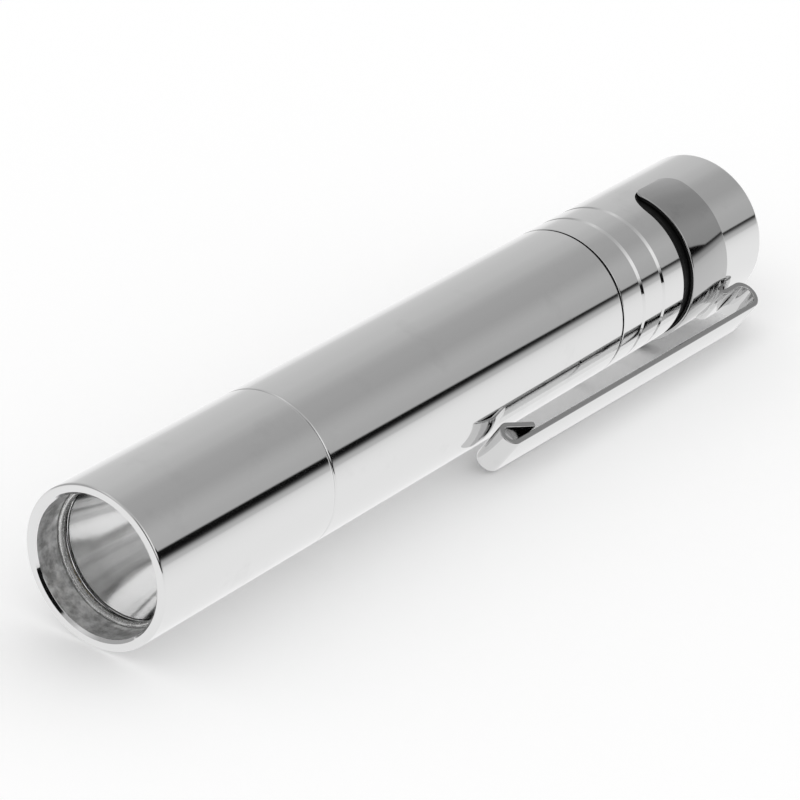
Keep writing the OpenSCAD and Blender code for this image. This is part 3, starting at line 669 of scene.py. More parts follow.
def printed_film(name, colour):
    """Film of the cell: a dark field with two plain lighter bands."""
    field = [(0.0, 1.0), (0.12, 1.0), (0.125, 0.0), (0.86, 0.0), (0.865, 1.0), (1.0, 1.0)]
    f = Finish(name, Coat_Weight=0.6, Coat_Roughness=0.08)
    share = f.remap(f.parts(f.place)["X"], *span("battery_sleeve"))
    bands = f.ramp(share, field)
    f.set("Base Color", f.mix(bands, opaque(colour), (0.42, 0.43, 0.45, 1.0)))
    grain = f.effect("Speckle", Scale=2200.0)
    f.set("Roughness", f.remap(grain["Mask"], 0.3, 0.7, 0.28, 0.4))


def ring_section():
    """Front place, half thickness, half width and middle radius of the ring before the glass."""
    x0, x1 = span("lens_o_ring")
    half_t = (x1 - x0) / 2
    half_w = RING_SLIMNESS * half_t
    return x0, half_t, half_w, reach("lens_o_ring") - half_w


def shiny_ring(name, colour):
    """Pale ring with painted glints as white specks, painted shade on its inner side and a broken
    line of painted shadow between.
    """
    middle_r = ring_section()[3]
    f = Finish(name, Metallic=0.8)
    radius = f.round_place(f.place)[1]

    def rise(first, last, *ends):
        return f.remap(radius, middle_r + first * MM, middle_r + last * MM, *ends)

    grain = f.effect("Speckle", Scale=7000.0)
    # Painted shadow: a broken dark line round the ring's middle radius
    shadow_line = f.times(rise(-0.06, -0.02), rise(0.02, 0.05, 1.0, 0.0))
    broken_shadow = f.times(shadow_line, f.remap(grain["Cloud"], 0.4, 0.6))
    # Painted shade: the ring's inner side at a darker share of its colour
    tone = f.mix(rise(-0.12, -0.04, 1.0, 0.0), opaque(colour), opaque(colour, 0.45))
    tone = f.mix(broken_shadow, tone, opaque(colour, 0.12))
    # Painted glints: white specks over the ring's colour
    f.set("Base Color", f.mix(f.remap(grain["Mask"], 0.62, 0.7), tone, WHITE))
    f.set("Roughness", f.remap(grain["Mask"], 0.3, 0.7, 0.2, 0.4))
    f.bump(grain["Mask"], 0.4, COARSE_RELIEF)


ARM = {"patches": 300.0, "lines": 1100.0, "dull": 0.95, "rough": 0.08}
METAL = {"fineness": 6000.0, "dark": 0.8, "between": (0.35, 0.65)}

# Maker, tint and settings of each material
FINISHES = {
    "Polished steel": (handled_steel, "steel", {
        "patches": 150.0, "lines": 700.0, "dull": 0.93, "rough": 0.055, "smudge_rough": 0.09,
        "line_rough": 0.06}),
    "Clip steel": (handled_steel, "clip_steel", {
        "patches": 420.0, "lines": 1500.0, "dull": 0.9, "rough": 0.07, "relief": 0.08}),
    # Painted light and shade: one strip steel, at full tone on the inner face and at darker shares
    # on the back and the edges
    "Strip steel": (handled_steel, "strip", ARM),
    "Strip back": (handled_steel, "strip", {**ARM, "level": 0.72}),
    "Strip edge": (handled_steel, "strip", {**ARM, "level": 0.5}),
    "Turned steel": (ringed, "steel", {
        "fineness": 7000.0, "dark": 0.62, "pale": 0.95, "rough": (0.5, 0.26), "relief": 0.35}),
    # Painted shade for recesses
    "Dark recess": (ringed, "recess", {
        "fineness": 3000.0, "dark": 0.1, "rough": (0.55, 0.35), "tone_from": 0.5, "metal": 0.0,
        "specular": 0.15}),
    "Bored steel": (bored_steel, "steel", {}),
    "Mirror coating": (mirror_coating, "mirror", {}),
    "Front glass": (clear_glass, "glass", {}),
    "Pale rubber": (shiny_ring, "pale_rubber", {}),
    "Black rubber": (speckled, "black_rubber", {"rough": (0.5, 0.7)}),
    "Spring steel": (speckled, "spring_steel", {"rough": (0.16, 0.3), "metal": 1.0}),
    "Brass": (ringed, "brass", {**METAL, "rough": (0.4, 0.22)}),
    "Board metal": (ringed, "board_metal", {**METAL, "rough": (0.45, 0.3)}),
    "Cell steel": (ringed, "cell_steel", {**METAL, "rough": (0.3, 0.16)}),
    "Cell sleeve": (printed_film, "cell_film", {}),
    "Green board": (coated_board, "board_green", {}),
    "Dark parts": (speckled, "dark_parts", {"rough": (0.4, 0.55)}),
    "White plastic": (speckled, "white_plastic", {}),
    "Red plastic": (speckled, "red_plastic", {"rough": (0.3, 0.45)}),
    "Lead jacket": (speckled, "red_plastic", {"rough": (0.35, 0.5)}),
    "Lamp base": (speckled, "lamp_yellow", {"rough": (0.45, 0.6), "scale": 5000.0}),
    "Lamp dome": (speckled, "lamp_yellow", {"rough": (0.05, 0.1), "relief": 0.02}),
}

# Material of each carried-over node, by the record's slot
SLOT_FINISHES = {
    "white_plastic": "White plastic", "board_metal": "Board metal", "lamp_ceramic": "Lamp base",
    "clear_dome": "Lamp dome", "brass": "Brass", "red_jacket": "Lead jacket",
    "green_board": "Green board", "dark_parts": "Dark parts", "black_rubber": "Black rubber",
    "cell_steel": "Cell steel", "cell_sleeve": "Cell sleeve", "spring_steel": "Spring steel",
    "red_plastic": "Red plastic",
}


def finish(name):
    """The material of that name, made on first use."""
    if name not in bpy.data.materials:
        maker, tint_name, settings = FINISHES[name]
        maker(name, getattr(bpy.context.scene.penlight_finishes, tint_name), **settings)
    return bpy.data.materials[name]


def finishes(*names):
    return [finish(name) for name in names]


def helix_tree(name, threaded):
    """Geometry Nodes: a tube along a helix, with a round wire or a thread's section."""
    tree = bpy.data.node_groups.new(name, "GeometryNodeTree")
    face = tree.interface
    face.new_socket("Geometry", in_out="OUTPUT", socket_type="NodeSocketGeometry")
    sockets = {}
    for label, kind, value in (
        ("Turns", "NodeSocketFloat", 4.0),
        ("Length", "NodeSocketFloat", 0.004),
        ("Start radius", "NodeSocketFloat", 0.006),
        ("End radius", "NodeSocketFloat", 0.006),
        ("Section width", "NodeSocketFloat", 0.0005),
        ("Section height", "NodeSocketFloat", 0.0003),
        ("Steps a turn", "NodeSocketInt", 96),
        ("Place", "NodeSocketVector", (0.0, 0.0, 0.0)),
        ("Material", "NodeSocketMaterial", None),
    ):
        socket = face.new_socket(label, in_out="INPUT", socket_type=kind)
        if value is not None:
            socket.default_value = value
        sockets[label] = socket.identifier
    s = Shader(tree)
    given = tree.nodes.new("NodeGroupInput").outputs
    spiral = s.add(
        "GeometryNodeCurveSpiral",
        {"Resolution": given["Steps a turn"], "Rotations": given["Turns"],
         "Start Radius": given["Start radius"], "End Radius": given["End radius"],
         "Height": given["Length"]},
    )
    upright = s.add(
        "GeometryNodeSetCurveNormal", {"Curve": spiral.outputs["Curve"]}, mode="Z_UP",
    )
    width = given["Section width"]
    if threaded:
        section = s.add(
            "GeometryNodeCurvePrimitiveQuadrilateral",
            {"Height": given["Section height"], "Bottom Width": width,
             "Top Width": s.times(width, 0.25), "Offset": 0.0},
            mode="TRAPEZOID",
        )
    else:
        section = s.add(
            "GeometryNodeCurvePrimitiveCircle",
            {"Resolution": 16, "Radius": s.times(width, 0.5)},
        )
    tube = s.add(
        "GeometryNodeCurveToMesh",
        {"Curve": upright.outputs["Curve"], "Profile Curve": section.outputs["Curve"],
         "Fill Caps": True},
    )
    laid = s.add(
        "GeometryNodeTransform",
        {"Geometry": tube.outputs["Mesh"], "Rotation": (0.0, QUARTER, 0.0),
         "Translation": given["Place"]},
    )
    real = s.add("GeometryNodeRealizeInstances", {"Geometry": laid.outputs["Geometry"]})
    coated = s.add(
        "GeometryNodeSetMaterial",
        {"Geometry": real.outputs["Geometry"], "Material": given["Material"]},
    )
    end = tree.nodes.new("NodeGroupOutput")
    tree.links.new(coated.outputs["Geometry"], end.inputs["Geometry"])
    return tree, sockets


def wound(name, tree_and_sockets, values, material, body, replaced=()):
    """One helix as a plain mesh, from the Geometry Nodes tree."""
    tree, sockets = tree_and_sockets
    host = bpy.data.objects.new(name + "_path", bpy.data.meshes.new(name + "_path"))
    bpy.context.scene.collection.objects.link(host)
    modifier = host.modifiers.new("Helix", "NODES")
    modifier.node_group = tree
    for label, value in values.items():
        modifier[sockets[label]] = value
    modifier[sockets["Material"]] = material
    bpy.context.view_layer.update()
    graph = bpy.context.evaluated_depsgraph_get()
    data = bpy.data.meshes.new_from_object(host.evaluated_get(graph), depsgraph=graph)
    host.modifiers.remove(modifier)
    bpy.data.objects.remove(host)
    if not data.polygons:
        raise RuntimeError(f"{name}: the helix came out empty")
    mesh = bmesh.new()
    mesh.from_mesh(data)
    materials = list(data.materials)
    return finish_mesh(name, mesh, materials, body, replaced, sharp=math.radians(50))


class BuildHead(bpy.types.Operator):
    """Turned head with its rim, bore and threads"""

    bl_idname = "penlight.head"
    bl_label = "Head"

    def execute(self, context):
        b = context.scene.penlight_body
        edge = b.edge_round
        ring_x, glass_x = span("lens_o_ring")[0], span("lens")[0]
        thread_x = span("pill")[0]
        root_r = b.thread_r + b.thread_depth
        corners = [
            (RIM_X, BODY_R, b.rim_round),
            (HEAD_END_X, BODY_R, b.head_seam),
            (HEAD_END_X, b.thread_r, edge),
            (HEAD_END_X - b.thread_land, b.thread_r, edge),
            (HEAD_END_X - b.thread_land - b.thread_depth, root_r, edge),
            (thread_x + b.thread_depth, root_r, edge),
            (thread_x, b.thread_r, edge),
            (thread_x, b.bore_r, edge),
            (glass_x, b.bore_r, edge / 2),
            (glass_x, b.bore_r + b.ring_seat, edge / 3),
            (ring_x, b.bore_r + b.ring_seat, edge / 3),
            (ring_x, b.bore_r, edge / 2),
            (RIM_X + b.rim_bevel, b.bore_r, edge / 2),
            (RIM_X, b.bore_r + b.rim_bevel, edge / 2),
        ]
        bevel_end, last_land = RIM_X + b.rim_bevel * 0.9, HEAD_END_X - b.thread_land

        def choose(x, r):
            if r > BODY_R - b.rim_round or x < bevel_end or x > last_land:
                return 0
            return 1 if x < glass_x else 2

        looks = finishes("Polished steel", "Bored steel", "Turned steel")
        turned("head", rounded(corners), looks, "head", ["head_shell"],
               choose=choose)
        return {"FINISHED"}


class BuildBarrel(bpy.types.Operator):
    """Barrel with its two necks and their seal grooves"""

    bl_idname = "penlight.barrel"
    bl_label = "Barrel"

    def execute(self, context):
        b = context.scene.penlight_body
        edge = b.edge_round
        groove_r = b.neck_r - b.seal_groove_depth
        core_r = b.neck_r - b.thread_depth
        slot_r = BODY_R - b.seam_slot_depth
        front_seal = HEAD_END_X - b.seal_land - b.seal_groove_w
        rear_seal = CAP_X + b.seal_land
        front_end, rear_end = front_seal + b.seal_groove_w, rear_seal + b.seal_groove_w
        slot_x = CAP_X - b.seam_slot_w
        corners = [
            (HEAD_END_X, BODY_R, b.head_seam),
            (slot_x, BODY_R, edge),
            (slot_x, slot_r, edge / 3),
            (CAP_X, slot_r, edge / 3),
            (CAP_X, b.neck_r, edge),
            (rear_seal, b.neck_r, edge),
            (rear_seal, groove_r, edge),
            (rear_end, groove_r, edge),
            (rear_end, b.neck_r, edge),
            (rear_end + b.thread_land, b.neck_r, edge),
            (rear_end + b.thread_land + b.thread_depth, core_r, edge),
            (NECK_END_X - edge, core_r, edge),
            (NECK_END_X, core_r - edge, edge),
            (NECK_END_X, b.tube_r, edge),
            (NECK_X, b.tube_r, edge),
            (NECK_X, core_r - edge, edge),
            (NECK_X + edge, core_r, edge),
            (front_seal - b.thread_land - b.thread_depth, core_r, edge),
            (front_seal - b.thread_land, b.neck_r, edge),
            (front_seal, b.neck_r, edge),
            (front_seal, groove_r, edge),
            (front_end, groove_r, edge),
            (front_end, b.neck_r, edge),
            (HEAD_END_X, b.neck_r, edge),
        ]

        # Index 2 puts painted shade on the slot in front of the cap
        def choose(x, r):
            if r < b.neck_r + edge:
                return 1
            return 2 if x > slot_x - edge / 2 and r < BODY_R - edge / 2 else 0

        looks = finishes("Polished steel", "Turned steel", "Dark recess")
        turned("barrel_tube", rounded(corners), looks, "barrel", ["barrel"],
               choose=choose)
        return {"FINISHED"}


class CurvedPlate:
    """Plate-shaped area on a cylinder, unrolled: a place along the axis and a run round the body
    from the clip's middle, with rounded corners."""

    def __init__(self, x0, x1, half, front, rear):
        self.x0, self.x1, self.half = x0, x1, half
        self.front, self.rear = front, rear

    def outside(self, x, run):
        """Distance from the outline, less than zero inside."""
        middle = (self.x0 + self.x1) / 2
        bend = self.front if x < middle else self.rear
        a = abs(x - middle) - (self.x1 - self.x0) / 2 + bend
        b = abs(run) - self.half + bend
        return min(max(a, b), 0.0) + math.hypot(max(a, 0.0), max(b, 0.0)) - bend

    def outline(self, row):
        """Points round the outline with their outward directions, in order."""
        sides = []
        corners = ((self.x0, -self.half, self.front, -1, -1),
                   (self.x1, -self.half, self.rear, 1, -1),
                   (self.x1, self.half, self.rear, 1, 1),
                   (self.x0, self.half, self.front, -1, 1))
        for k, (x, run, bend, sx, sr) in enumerate(corners):
            start = (math.pi, -QUARTER, 0.0, QUARTER)[k]
            for n in range(CORNER_STEPS + 1):
                a = start + QUARTER * n / CORNER_STEPS
                way = (math.cos(a), math.sin(a))
                sides.append((x - sx * bend + bend * way[0], run - sr * bend + bend * way[1], way))
            last_x, last_run, way = sides[-1]
            x2, run2, bend2, sx2, sr2 = corners[(k + 1) % 4]
            on_x = x2 - sx2 * bend2 + bend2 * way[0]
            on_run = run2 - sr2 * bend2 + bend2 * way[1]
            count = max(1, round(math.hypot(on_x - last_x, on_run - last_run) / row))
            for n in range(1, count):
                share = n / count
                sides.append((last_x + (on_x - last_x) * share,
                              last_run + (on_run - last_run) * share, way))
        return sides


class BuildCap(bpy.types.Operator):
    """Tail cap with its two fine grooves and a groove that follows the clip's band"""

    bl_idname = "penlight.cap"
    bl_label = "Tail cap"

    def execute(self, context):
        b, c = context.scene.penlight_body, context.scene.penlight_cap
        clip = context.scene.penlight_clip
        edge = b.edge_round
        root_r = b.thread_r + b.thread_depth
        shoulder_x = NECK_END_X + c.shoulder_gap
        wall_x = span("switch_carrier")[1] + c.boot_flange
        seal_x = CAP_X + b.seal_groove_w + b.seal_land
        groove_x = CAP_X + c.clip_from
        groove_end = groove_x + c.clip_front_gap + clip.band_w + c.clip_rear_gap
        floor_r = BODY_R - c.clip_groove_depth
        half = (clip.band_reach + c.clip_end_gap / (floor_r + clip.band_gap)) * BODY_R
        plate = CurvedPlate(groove_x, groove_end, half,
                            clip.front_corner + c.clip_front_gap * c.clip_groove_taper,
                            clip.rear_corner + c.clip_rear_gap)
        first, last = groove_x - GROOVE_MARGIN, groove_end + GROOVE_MARGIN
        corners = [
            (last, BODY_R, 0.0),
            (TAIL_X, BODY_R, c.tail_round),
            (TAIL_X, c.button_hole_r, 2 * edge),
            (wall_x, c.button_hole_r, edge),
            (wall_x, c.inner_r, edge),
            (shoulder_x, c.inner_r, edge),
            (shoulder_x, b.thread_r, edge),
            (shoulder_x - b.thread_depth, root_r, edge),
            (seal_x + b.thread_land, root_r, edge),
            (seal_x, b.thread_r, edge),
            (CAP_X, b.thread_r, edge),
            (CAP_X, BODY_R, b.cap_seam),
        ]
        for k in range(2):
            x = CAP_X + c.fine_from + k * c.fine_pitch
            corners += [(x - c.fine_depth, BODY_R, edge / 2), (x, BODY_R - c.fine_depth, edge / 3),
                        (x + c.fine_depth, BODY_R, edge / 2)]
        corners.append((first, BODY_R, 0.0))

        def open_skin(x, r, slack=0.01 * MM):
            return first + slack < x < last - slack and r > BODY_R - slack

        outline = [p for p in rounded(corners) if not open_skin(*p)]
        mesh = turned_mesh(outline, b.segments, closed=False, phase=math.pi - clip.lie)
        for face in mesh.faces:
            middle = face.calc_center_median()
            r = from_axis(middle)
            if r < root_r + edge and middle.x < TAIL_X - edge:
                face.material_index = 1
            # Index 2 puts painted shade on the cap's front face inside the seam
            elif middle.x < CAP_X + edge / 2 and r < BODY_R - b.cap_seam:
                face.material_index = 2
        exact = self.groove(mesh, plate, first, last, floor_r, clip.lie, b, c)
        bmesh.ops.remove_doubles(mesh, verts=mesh.verts, dist=MERGE)
        looks = finishes("Polished steel", "Turned steel", "Dark recess")
        finish_mesh("cap", mesh, looks, "tail", ["tail_cap"], exact=exact)
        return {"FINISHED"}

    def groove(self, mesh, plate, first, last, floor_r, lie, b, c):
        """Adds the cap's skin round the groove, the groove's walls and its floor, and returns
        their normals."""
        exact = {}
        lip, foot = c.clip_groove_round, b.edge_round
        outline = plate.outline(c.clip_groove_row / 2)
        rows = []
        for k in range(LIP_STEPS + 1):
            a = QUARTER * k / LIP_STEPS
            rows.append((lip * (1 - math.sin(a)), BODY_R - lip * (1 - math.cos(a)),
                         math.cos(a), math.sin(a)))
        for k in range(FOOT_STEPS + 1):
            a = QUARTER * k / FOOT_STEPS
            rows.append((-foot * (1 - math.cos(a)), floor_r + foot * (1 - math.sin(a)),
                         math.sin(a), math.cos(a)))

        def radial(turn):
            return Vector((0.0, math.sin(turn), -math.cos(turn)))

        rings = []
        for off, r, up, inward in rows:
            ring = []
            for x, run, (wx, wr) in outline:
                turn = (run + wr * off) / BODY_R - lie
                vert = mesh.verts.new(on_axis(x + wx * off, r, turn))
                around = Vector((0.0, math.cos(turn), math.sin(turn)))
                exact[vert] = radial(turn) * up - (Vector((wx, 0.0, 0.0)) + around * wr) * inward
                ring.append(vert)
            rings.append(ring)
        count = len(outline)
        for n, (a, d) in enumerate(zip(rings, rings[1:])):
            for k in range(count):
                face = mesh.faces.new([a[k], a[(k + 1) % count], d[(k + 1) % count], d[k]])
                # Painted shade on the groove's walls and floor, below its rounded lip
                face.material_index = 0 if n < LIP_STEPS - 1 else 2
        edges = [(k, (k + 1) % count) for k in range(count)]
        sides = b.segments
        turns = [math.pi * BODY_R * (2 * k / sides - 1) for k in range(sides + 1)]
        steps = math.ceil((last - first) / c.clip_groove_row)
        places = [first + (last - first) * k / steps for k in range(steps + 1)]
        clear = 0.3 * c.clip_groove_row
        for ring, off, r, outer in ((rings[0], rows[0][0], BODY_R, True),
                                    (rings[-1], rows[-1][0], floor_r, False)):
            flat = [(x + wx * off, run + wr * off) for x, run, (wx, wr) in outline]
            verts = list(ring)
            for x in places:
                for run in turns:
                    beyond = plate.outside(x, run) - off
                    if beyond > clear if outer else beyond < -clear:
                        turn = run / BODY_R - lie
                        flat.append((x, run))
                        verts.append(mesh.verts.new(on_axis(x, r, turn)))
                        exact[verts[-1]] = radial(turn)
            points, _, faces, origins, _, _ = delaunay_2d_cdt(
                [Vector(p) for p in flat], edges, [], 0, TINY)
            for face in faces:
                x = sum(points[k].x for k in face) / 3
                run = sum(points[k].y for k in face) / 3
                if (plate.outside(x, run) - off > 0) == outer:
                    piece = mesh.faces.new([verts[origins[k][0]] for k in face])
                    # The groove's floor takes painted shade
                    piece.material_index = 0 if outer else 2
        return exact


class BuildThreads(bpy.types.Operator):
    """Threads on the two necks and inside the head and the cap"""

    bl_idname = "penlight.threads"
    bl_label = "Threads"

    def execute(self, context):
        b, c = context.scene.penlight_body, context.scene.penlight_cap
        tree = helix_tree("Thread", True)
        metal = finish("Turned steel")
        front_seal = HEAD_END_X - b.seal_land - b.seal_groove_w
        rear_seal = CAP_X + b.seal_land + b.seal_groove_w
        width = THREAD_FILL * b.thread_pitch
        neck_middle = b.neck_r - b.crest_gap - b.thread_depth / 2
        bore_middle = b.thread_r + b.thread_depth / 2
        rows = [
            ("front_neck_thread", NECK_X, front_seal - b.thread_land, neck_middle, "barrel"),
            ("rear_neck_thread", rear_seal + b.thread_land, NECK_END_X, neck_middle, "barrel"),
            ("head_thread", span("pill")[0], HEAD_END_X - b.thread_land, bore_middle, "head"),
            ("cap_thread", rear_seal, NECK_END_X + c.shoulder_gap, bore_middle, "tail"),
        ]
        for name, first, last, middle_r, body in rows:
            run = last - first - width
            wound(name, tree, {
                "Turns": run / b.thread_pitch, "Length": run,
                "Start radius": middle_r, "End radius": middle_r,
                "Section width": b.thread_depth, "Section height": width,
                "Place": (first + width / 2, AXIS_Y, AXIS_Z),
            }, metal, body)
        return {"FINISHED"}


class BuildLens(bpy.types.Operator):
    """Glass, its pale ring and the reflector behind it"""

    bl_idname = "penlight.lens"
    bl_label = "Glass and reflector"

    def execute(self, context):
        size = context.scene.penlight_lens
        x0, x1 = span("lens")
        r = reach("lens")
        bevel = size.glass_bevel
        half = [(x0, 0.0), (x0, r - 2 * bevel), (x0, r - bevel), (x0 + bevel / 3, r - bevel / 3),
                (x0 + bevel, r), (x1 - bevel, r), (x1 - bevel / 3, r - bevel / 3),
                (x1, r - bevel), (x1, r - 2 * bevel), (x1, 0.0)]
        turned("glass", half, finishes("Front glass"), "head", ["lens"], closed=False)
        self.ring()
        self.cup(size)
        return {"FINISHED"}

    def ring(self):
        """Round rubber ring in front of the glass."""
        x0, half_t, half_w, middle_r = ring_section()
        turns = [2 * math.pi * k / RING_STEPS for k in range(RING_STEPS)]
        outline = [
            (x0 + half_t - half_t * math.cos(a), middle_r + half_w * math.sin(a)) for a in turns
        ]
        looks = finishes("Pale rubber")
        turned("glass_ring", outline, looks, "head", ["lens_o_ring"])

    def cup(self, size):
        """Bright cup, a parabola between its mouth and the lamp's hole."""
        x0, x1 = span("reflector")
        outer = reach("reflector")
        mouth, foot = outer - size.cup_lip, size.foot_r
        outline = []
        for k in range(size.cup_steps + 1):
            r = mouth + (foot - mouth) * k / size.cup_steps
            depth = (x1 - x0) * (mouth * mouth - r * r) / (mouth * mouth - foot * foot)
            outline.append((x0 + depth, r))
        outline += [(x1, foot + size.cup_wall), (x0 + size.cup_band, outer),
                    (x0 + size.cup_band / 2, outer), (x0, outer)]
        mesh = turned_mesh(outline, bpy.context.scene.penlight_body.segments)
        finish_mesh("cup", mesh, finishes("Mirror coating"), "head",
                    ["reflector"], sharp=math.radians(35))


def clip_place(x, radial, side, lie):
    """World place of a point in the clip's own directions: along, away from the axis and to the
    side."""
    down = radial * math.cos(lie) + side * math.sin(lie)
    across = side * math.cos(lie) - radial * math.sin(lie)
    return Vector((x, AXIS_Y + across, AXIS_Z - down))


def bent_path(start, moves):
    """Places and headings along a strip; each move is a bend's radius, its angle and the flat
    after it."""
    places = [(Vector(start), 0.0)]
    heading = 0.0
    point = Vector(start)
    for radius, angle, flat in moves:
        side = math.copysign(1, angle)
        middle = point + side * radius * Vector((math.cos(heading), -math.sin(heading)))
        count = max(2, math.ceil(abs(angle) / BEND_STEP))
        for k in range(1, count + 1):
            turned_to = heading + angle * k / count
            point = middle - side * radius * Vector((math.cos(turned_to), -math.sin(turned_to)))
            places.append((point.copy(), turned_to))
        heading += angle
        way = Vector((math.sin(heading), math.cos(heading)))
        lead = min(LEAD, flat / 4)
        for run in (lead, flat - lead, flat):
            places.append((point + way * run, heading))
        point = point + way * flat
    return places


def edge_loop(half_w, half_t, bend):
    """Points round a strip's section, with rounded edges."""
    points = []
    for quarter, (w, t) in enumerate(((1, 1), (-1, 1), (-1, -1), (1, -1))):
        for k in range(EDGE_STEPS + 1):
            a = QUARTER * (quarter + k / EDGE_STEPS)
            points.append((w * (half_w - bend) + bend * math.cos(a),
                           t * (half_t - bend) + bend * math.sin(a)))
    return points


class BuildClip(bpy.types.Operator):
    """Clip of one bent strip, with its open band"""

    bl_idname = "penlight.clip"
    bl_label = "Clip"

    def execute(self, context):
        c, cap = context.scene.penlight_clip, context.scene.penlight_cap
        inner_r = BODY_R - cap.clip_groove_depth + c.band_gap
        band_x = CAP_X + cap.clip_from + cap.clip_front_gap
        strip = self.strip(c, inner_r, band_x + c.band_w)
        band = self.band(c, inner_r, band_x)
        arm, back, side = 1, 2, 3
        for face in strip.faces:
            face.material_index = arm
        merged = bpy.data.meshes.new("clip")
        strip.to_mesh(merged)
        band.from_mesh(merged)
        strip.free()
        bpy.data.meshes.remove(merged)
        away = Vector((0.0, -math.sin(c.lie), -math.cos(c.lie)))
        aside = Vector((0.0, math.cos(c.lie), -math.sin(c.lie)))
        bmesh.ops.recalc_face_normals(band, faces=band.faces[:])
        # Painted shade: the strip's sides and back take darker copies of its steel than the inner
        # face
        for face in band.faces:
            if face.material_index == arm and abs(face.normal.dot(aside)) > SIDE_ON:
                face.material_index = side
            elif face.material_index == arm and face.normal.dot(away) > BACK_ON:
                face.material_index = back
        looks = finishes("Clip steel", "Strip steel", "Strip back", "Strip edge")
        finish_mesh("clip_strip", band, looks, "tail", ["clip"],
                    sharp=math.radians(60))
        return {"FINISHED"}

    def strip(self, c, inner_r, band_end):
        """Step, neck, loop, arm and nose."""
        mean_r = inner_r + c.strip_t / 2
        neck_r = BODY_R + c.neck_lift + c.strip_t / 2
        rise = neck_r - mean_r
        bend_rise = c.step_bend_r * (1 - math.cos(c.step_slope))
        slope_len = (rise - 2 * bend_rise) / math.sin(c.step_slope)
        rear_reach = BODY_R + c.rear_gap + c.strip_t
        front_reach = BODY_R + c.nose_gap + c.strip_t + 2 * c.nose_bend_r
        lean = math.asin((rear_reach - front_reach) / c.arm_len)
        loop_r = (rear_reach - c.strip_t / 2 - neck_r) / (1 + math.cos(lean))
        nose_rise = (c.nose_bend_r - c.strip_t / 2) * (1 + math.cos(c.nose_tilt)) - c.tip_gap
        nose_len = nose_rise / math.sin(c.nose_tilt)
        moves = [
            (c.step_bend_r, c.step_slope, slope_len), (c.step_bend_r, -c.step_slope, c.neck_len),
            (loop_r, math.pi + lean, c.arm_len),
            (c.nose_bend_r, math.pi + c.nose_tilt - lean, nose_len),
        ]
        places = bent_path((mean_r, band_end - c.step_lead), moves)
        loops = []
        section = edge_loop(c.strip_w / 2, c.strip_t / 2, c.strip_round)
        for point, heading in places:
            out = Vector((math.cos(heading), -math.sin(heading)))
            loops.append([
                clip_place(point.y + out.y * t, point.x + out.x * t, w, c.lie) for w, t in section
            ])
        return swept_mesh(self.blunt(loops, c.strip_round))

    def blunt(self, loops, bend):
        """Loops with one small rounded end added past the last one."""
        last, before = loops[-1], loops[-2]
        way = (last[0] - before[0]).normalized()
        middle = sum(last, Vector()) / len(last)
        ends = []
        for k in range(1, EDGE_STEPS + 1):
            a = QUARTER * k / EDGE_STEPS
            back, shrink = bend * (1 - math.sin(a)), bend * (1 - math.cos(a))
            ends.append([p - way * back + (middle - p).normalized() * shrink for p in last])
        return loops[:-1] + [[p - way * bend for p in last]] + ends

    def band(self, c, inner_r, band_x):
        """Open ring in the groove, with rounded corners and slimmer ends."""
        end_run, end_squeeze = 0.06 * MM, 0.1 * MM
        outer_r = inner_r + c.strip_t
        mean_r = inner_r + c.strip_t / 2
        total = c.band_reach * mean_r
        fine = [c.rear_corner * (1 - math.cos(QUARTER * k / CORNER_STEPS))
                for k in range(2, CORNER_STEPS + 1)]
        middle = [c.rear_corner + (total - c.rear_corner) * k / BAND_STEPS
                  for k in range(1, BAND_STEPS + 1)]
        half = [0.0, end_run / 3, end_run] + fine + middle
        distances = half + [2 * total - d for d in reversed(half[:-1])]
        loops = []
        for d in distances:
            from_end = min(d, 2 * total - d)
            front = self.corner(c.front_corner, from_end)
            rear = self.corner(c.rear_corner, from_end)
            x0, x1 = band_x + front, band_x + c.band_w - rear
            angle = d / mean_r - c.band_reach
            squeeze = 0.0
            if from_end < end_run:
                squeeze = end_squeeze * (1 - math.sqrt(max(0.0, from_end / end_run)))
            half_w, half_t = (x1 - x0) / 2 - squeeze, (outer_r - inner_r) / 2 - squeeze
            section = edge_loop(half_w, half_t, min(c.strip_round, half_t * 0.9))
            loops.append([
                self.band_point((x0 + x1) / 2 + w, mean_r + t, angle, c.lie) for w, t in section
            ])
        return swept_mesh(loops)

    def corner(self, r, run):
        """How far a rounded corner cuts the band back at a distance from its end."""
        if run >= r:
            return 0.0
        return r - math.sqrt(max(0.0, r * r - (r - run) ** 2))

    def band_point(self, x, r, angle, lie):
        return clip_place(x, r * math.cos(angle), r * math.sin(angle), lie)


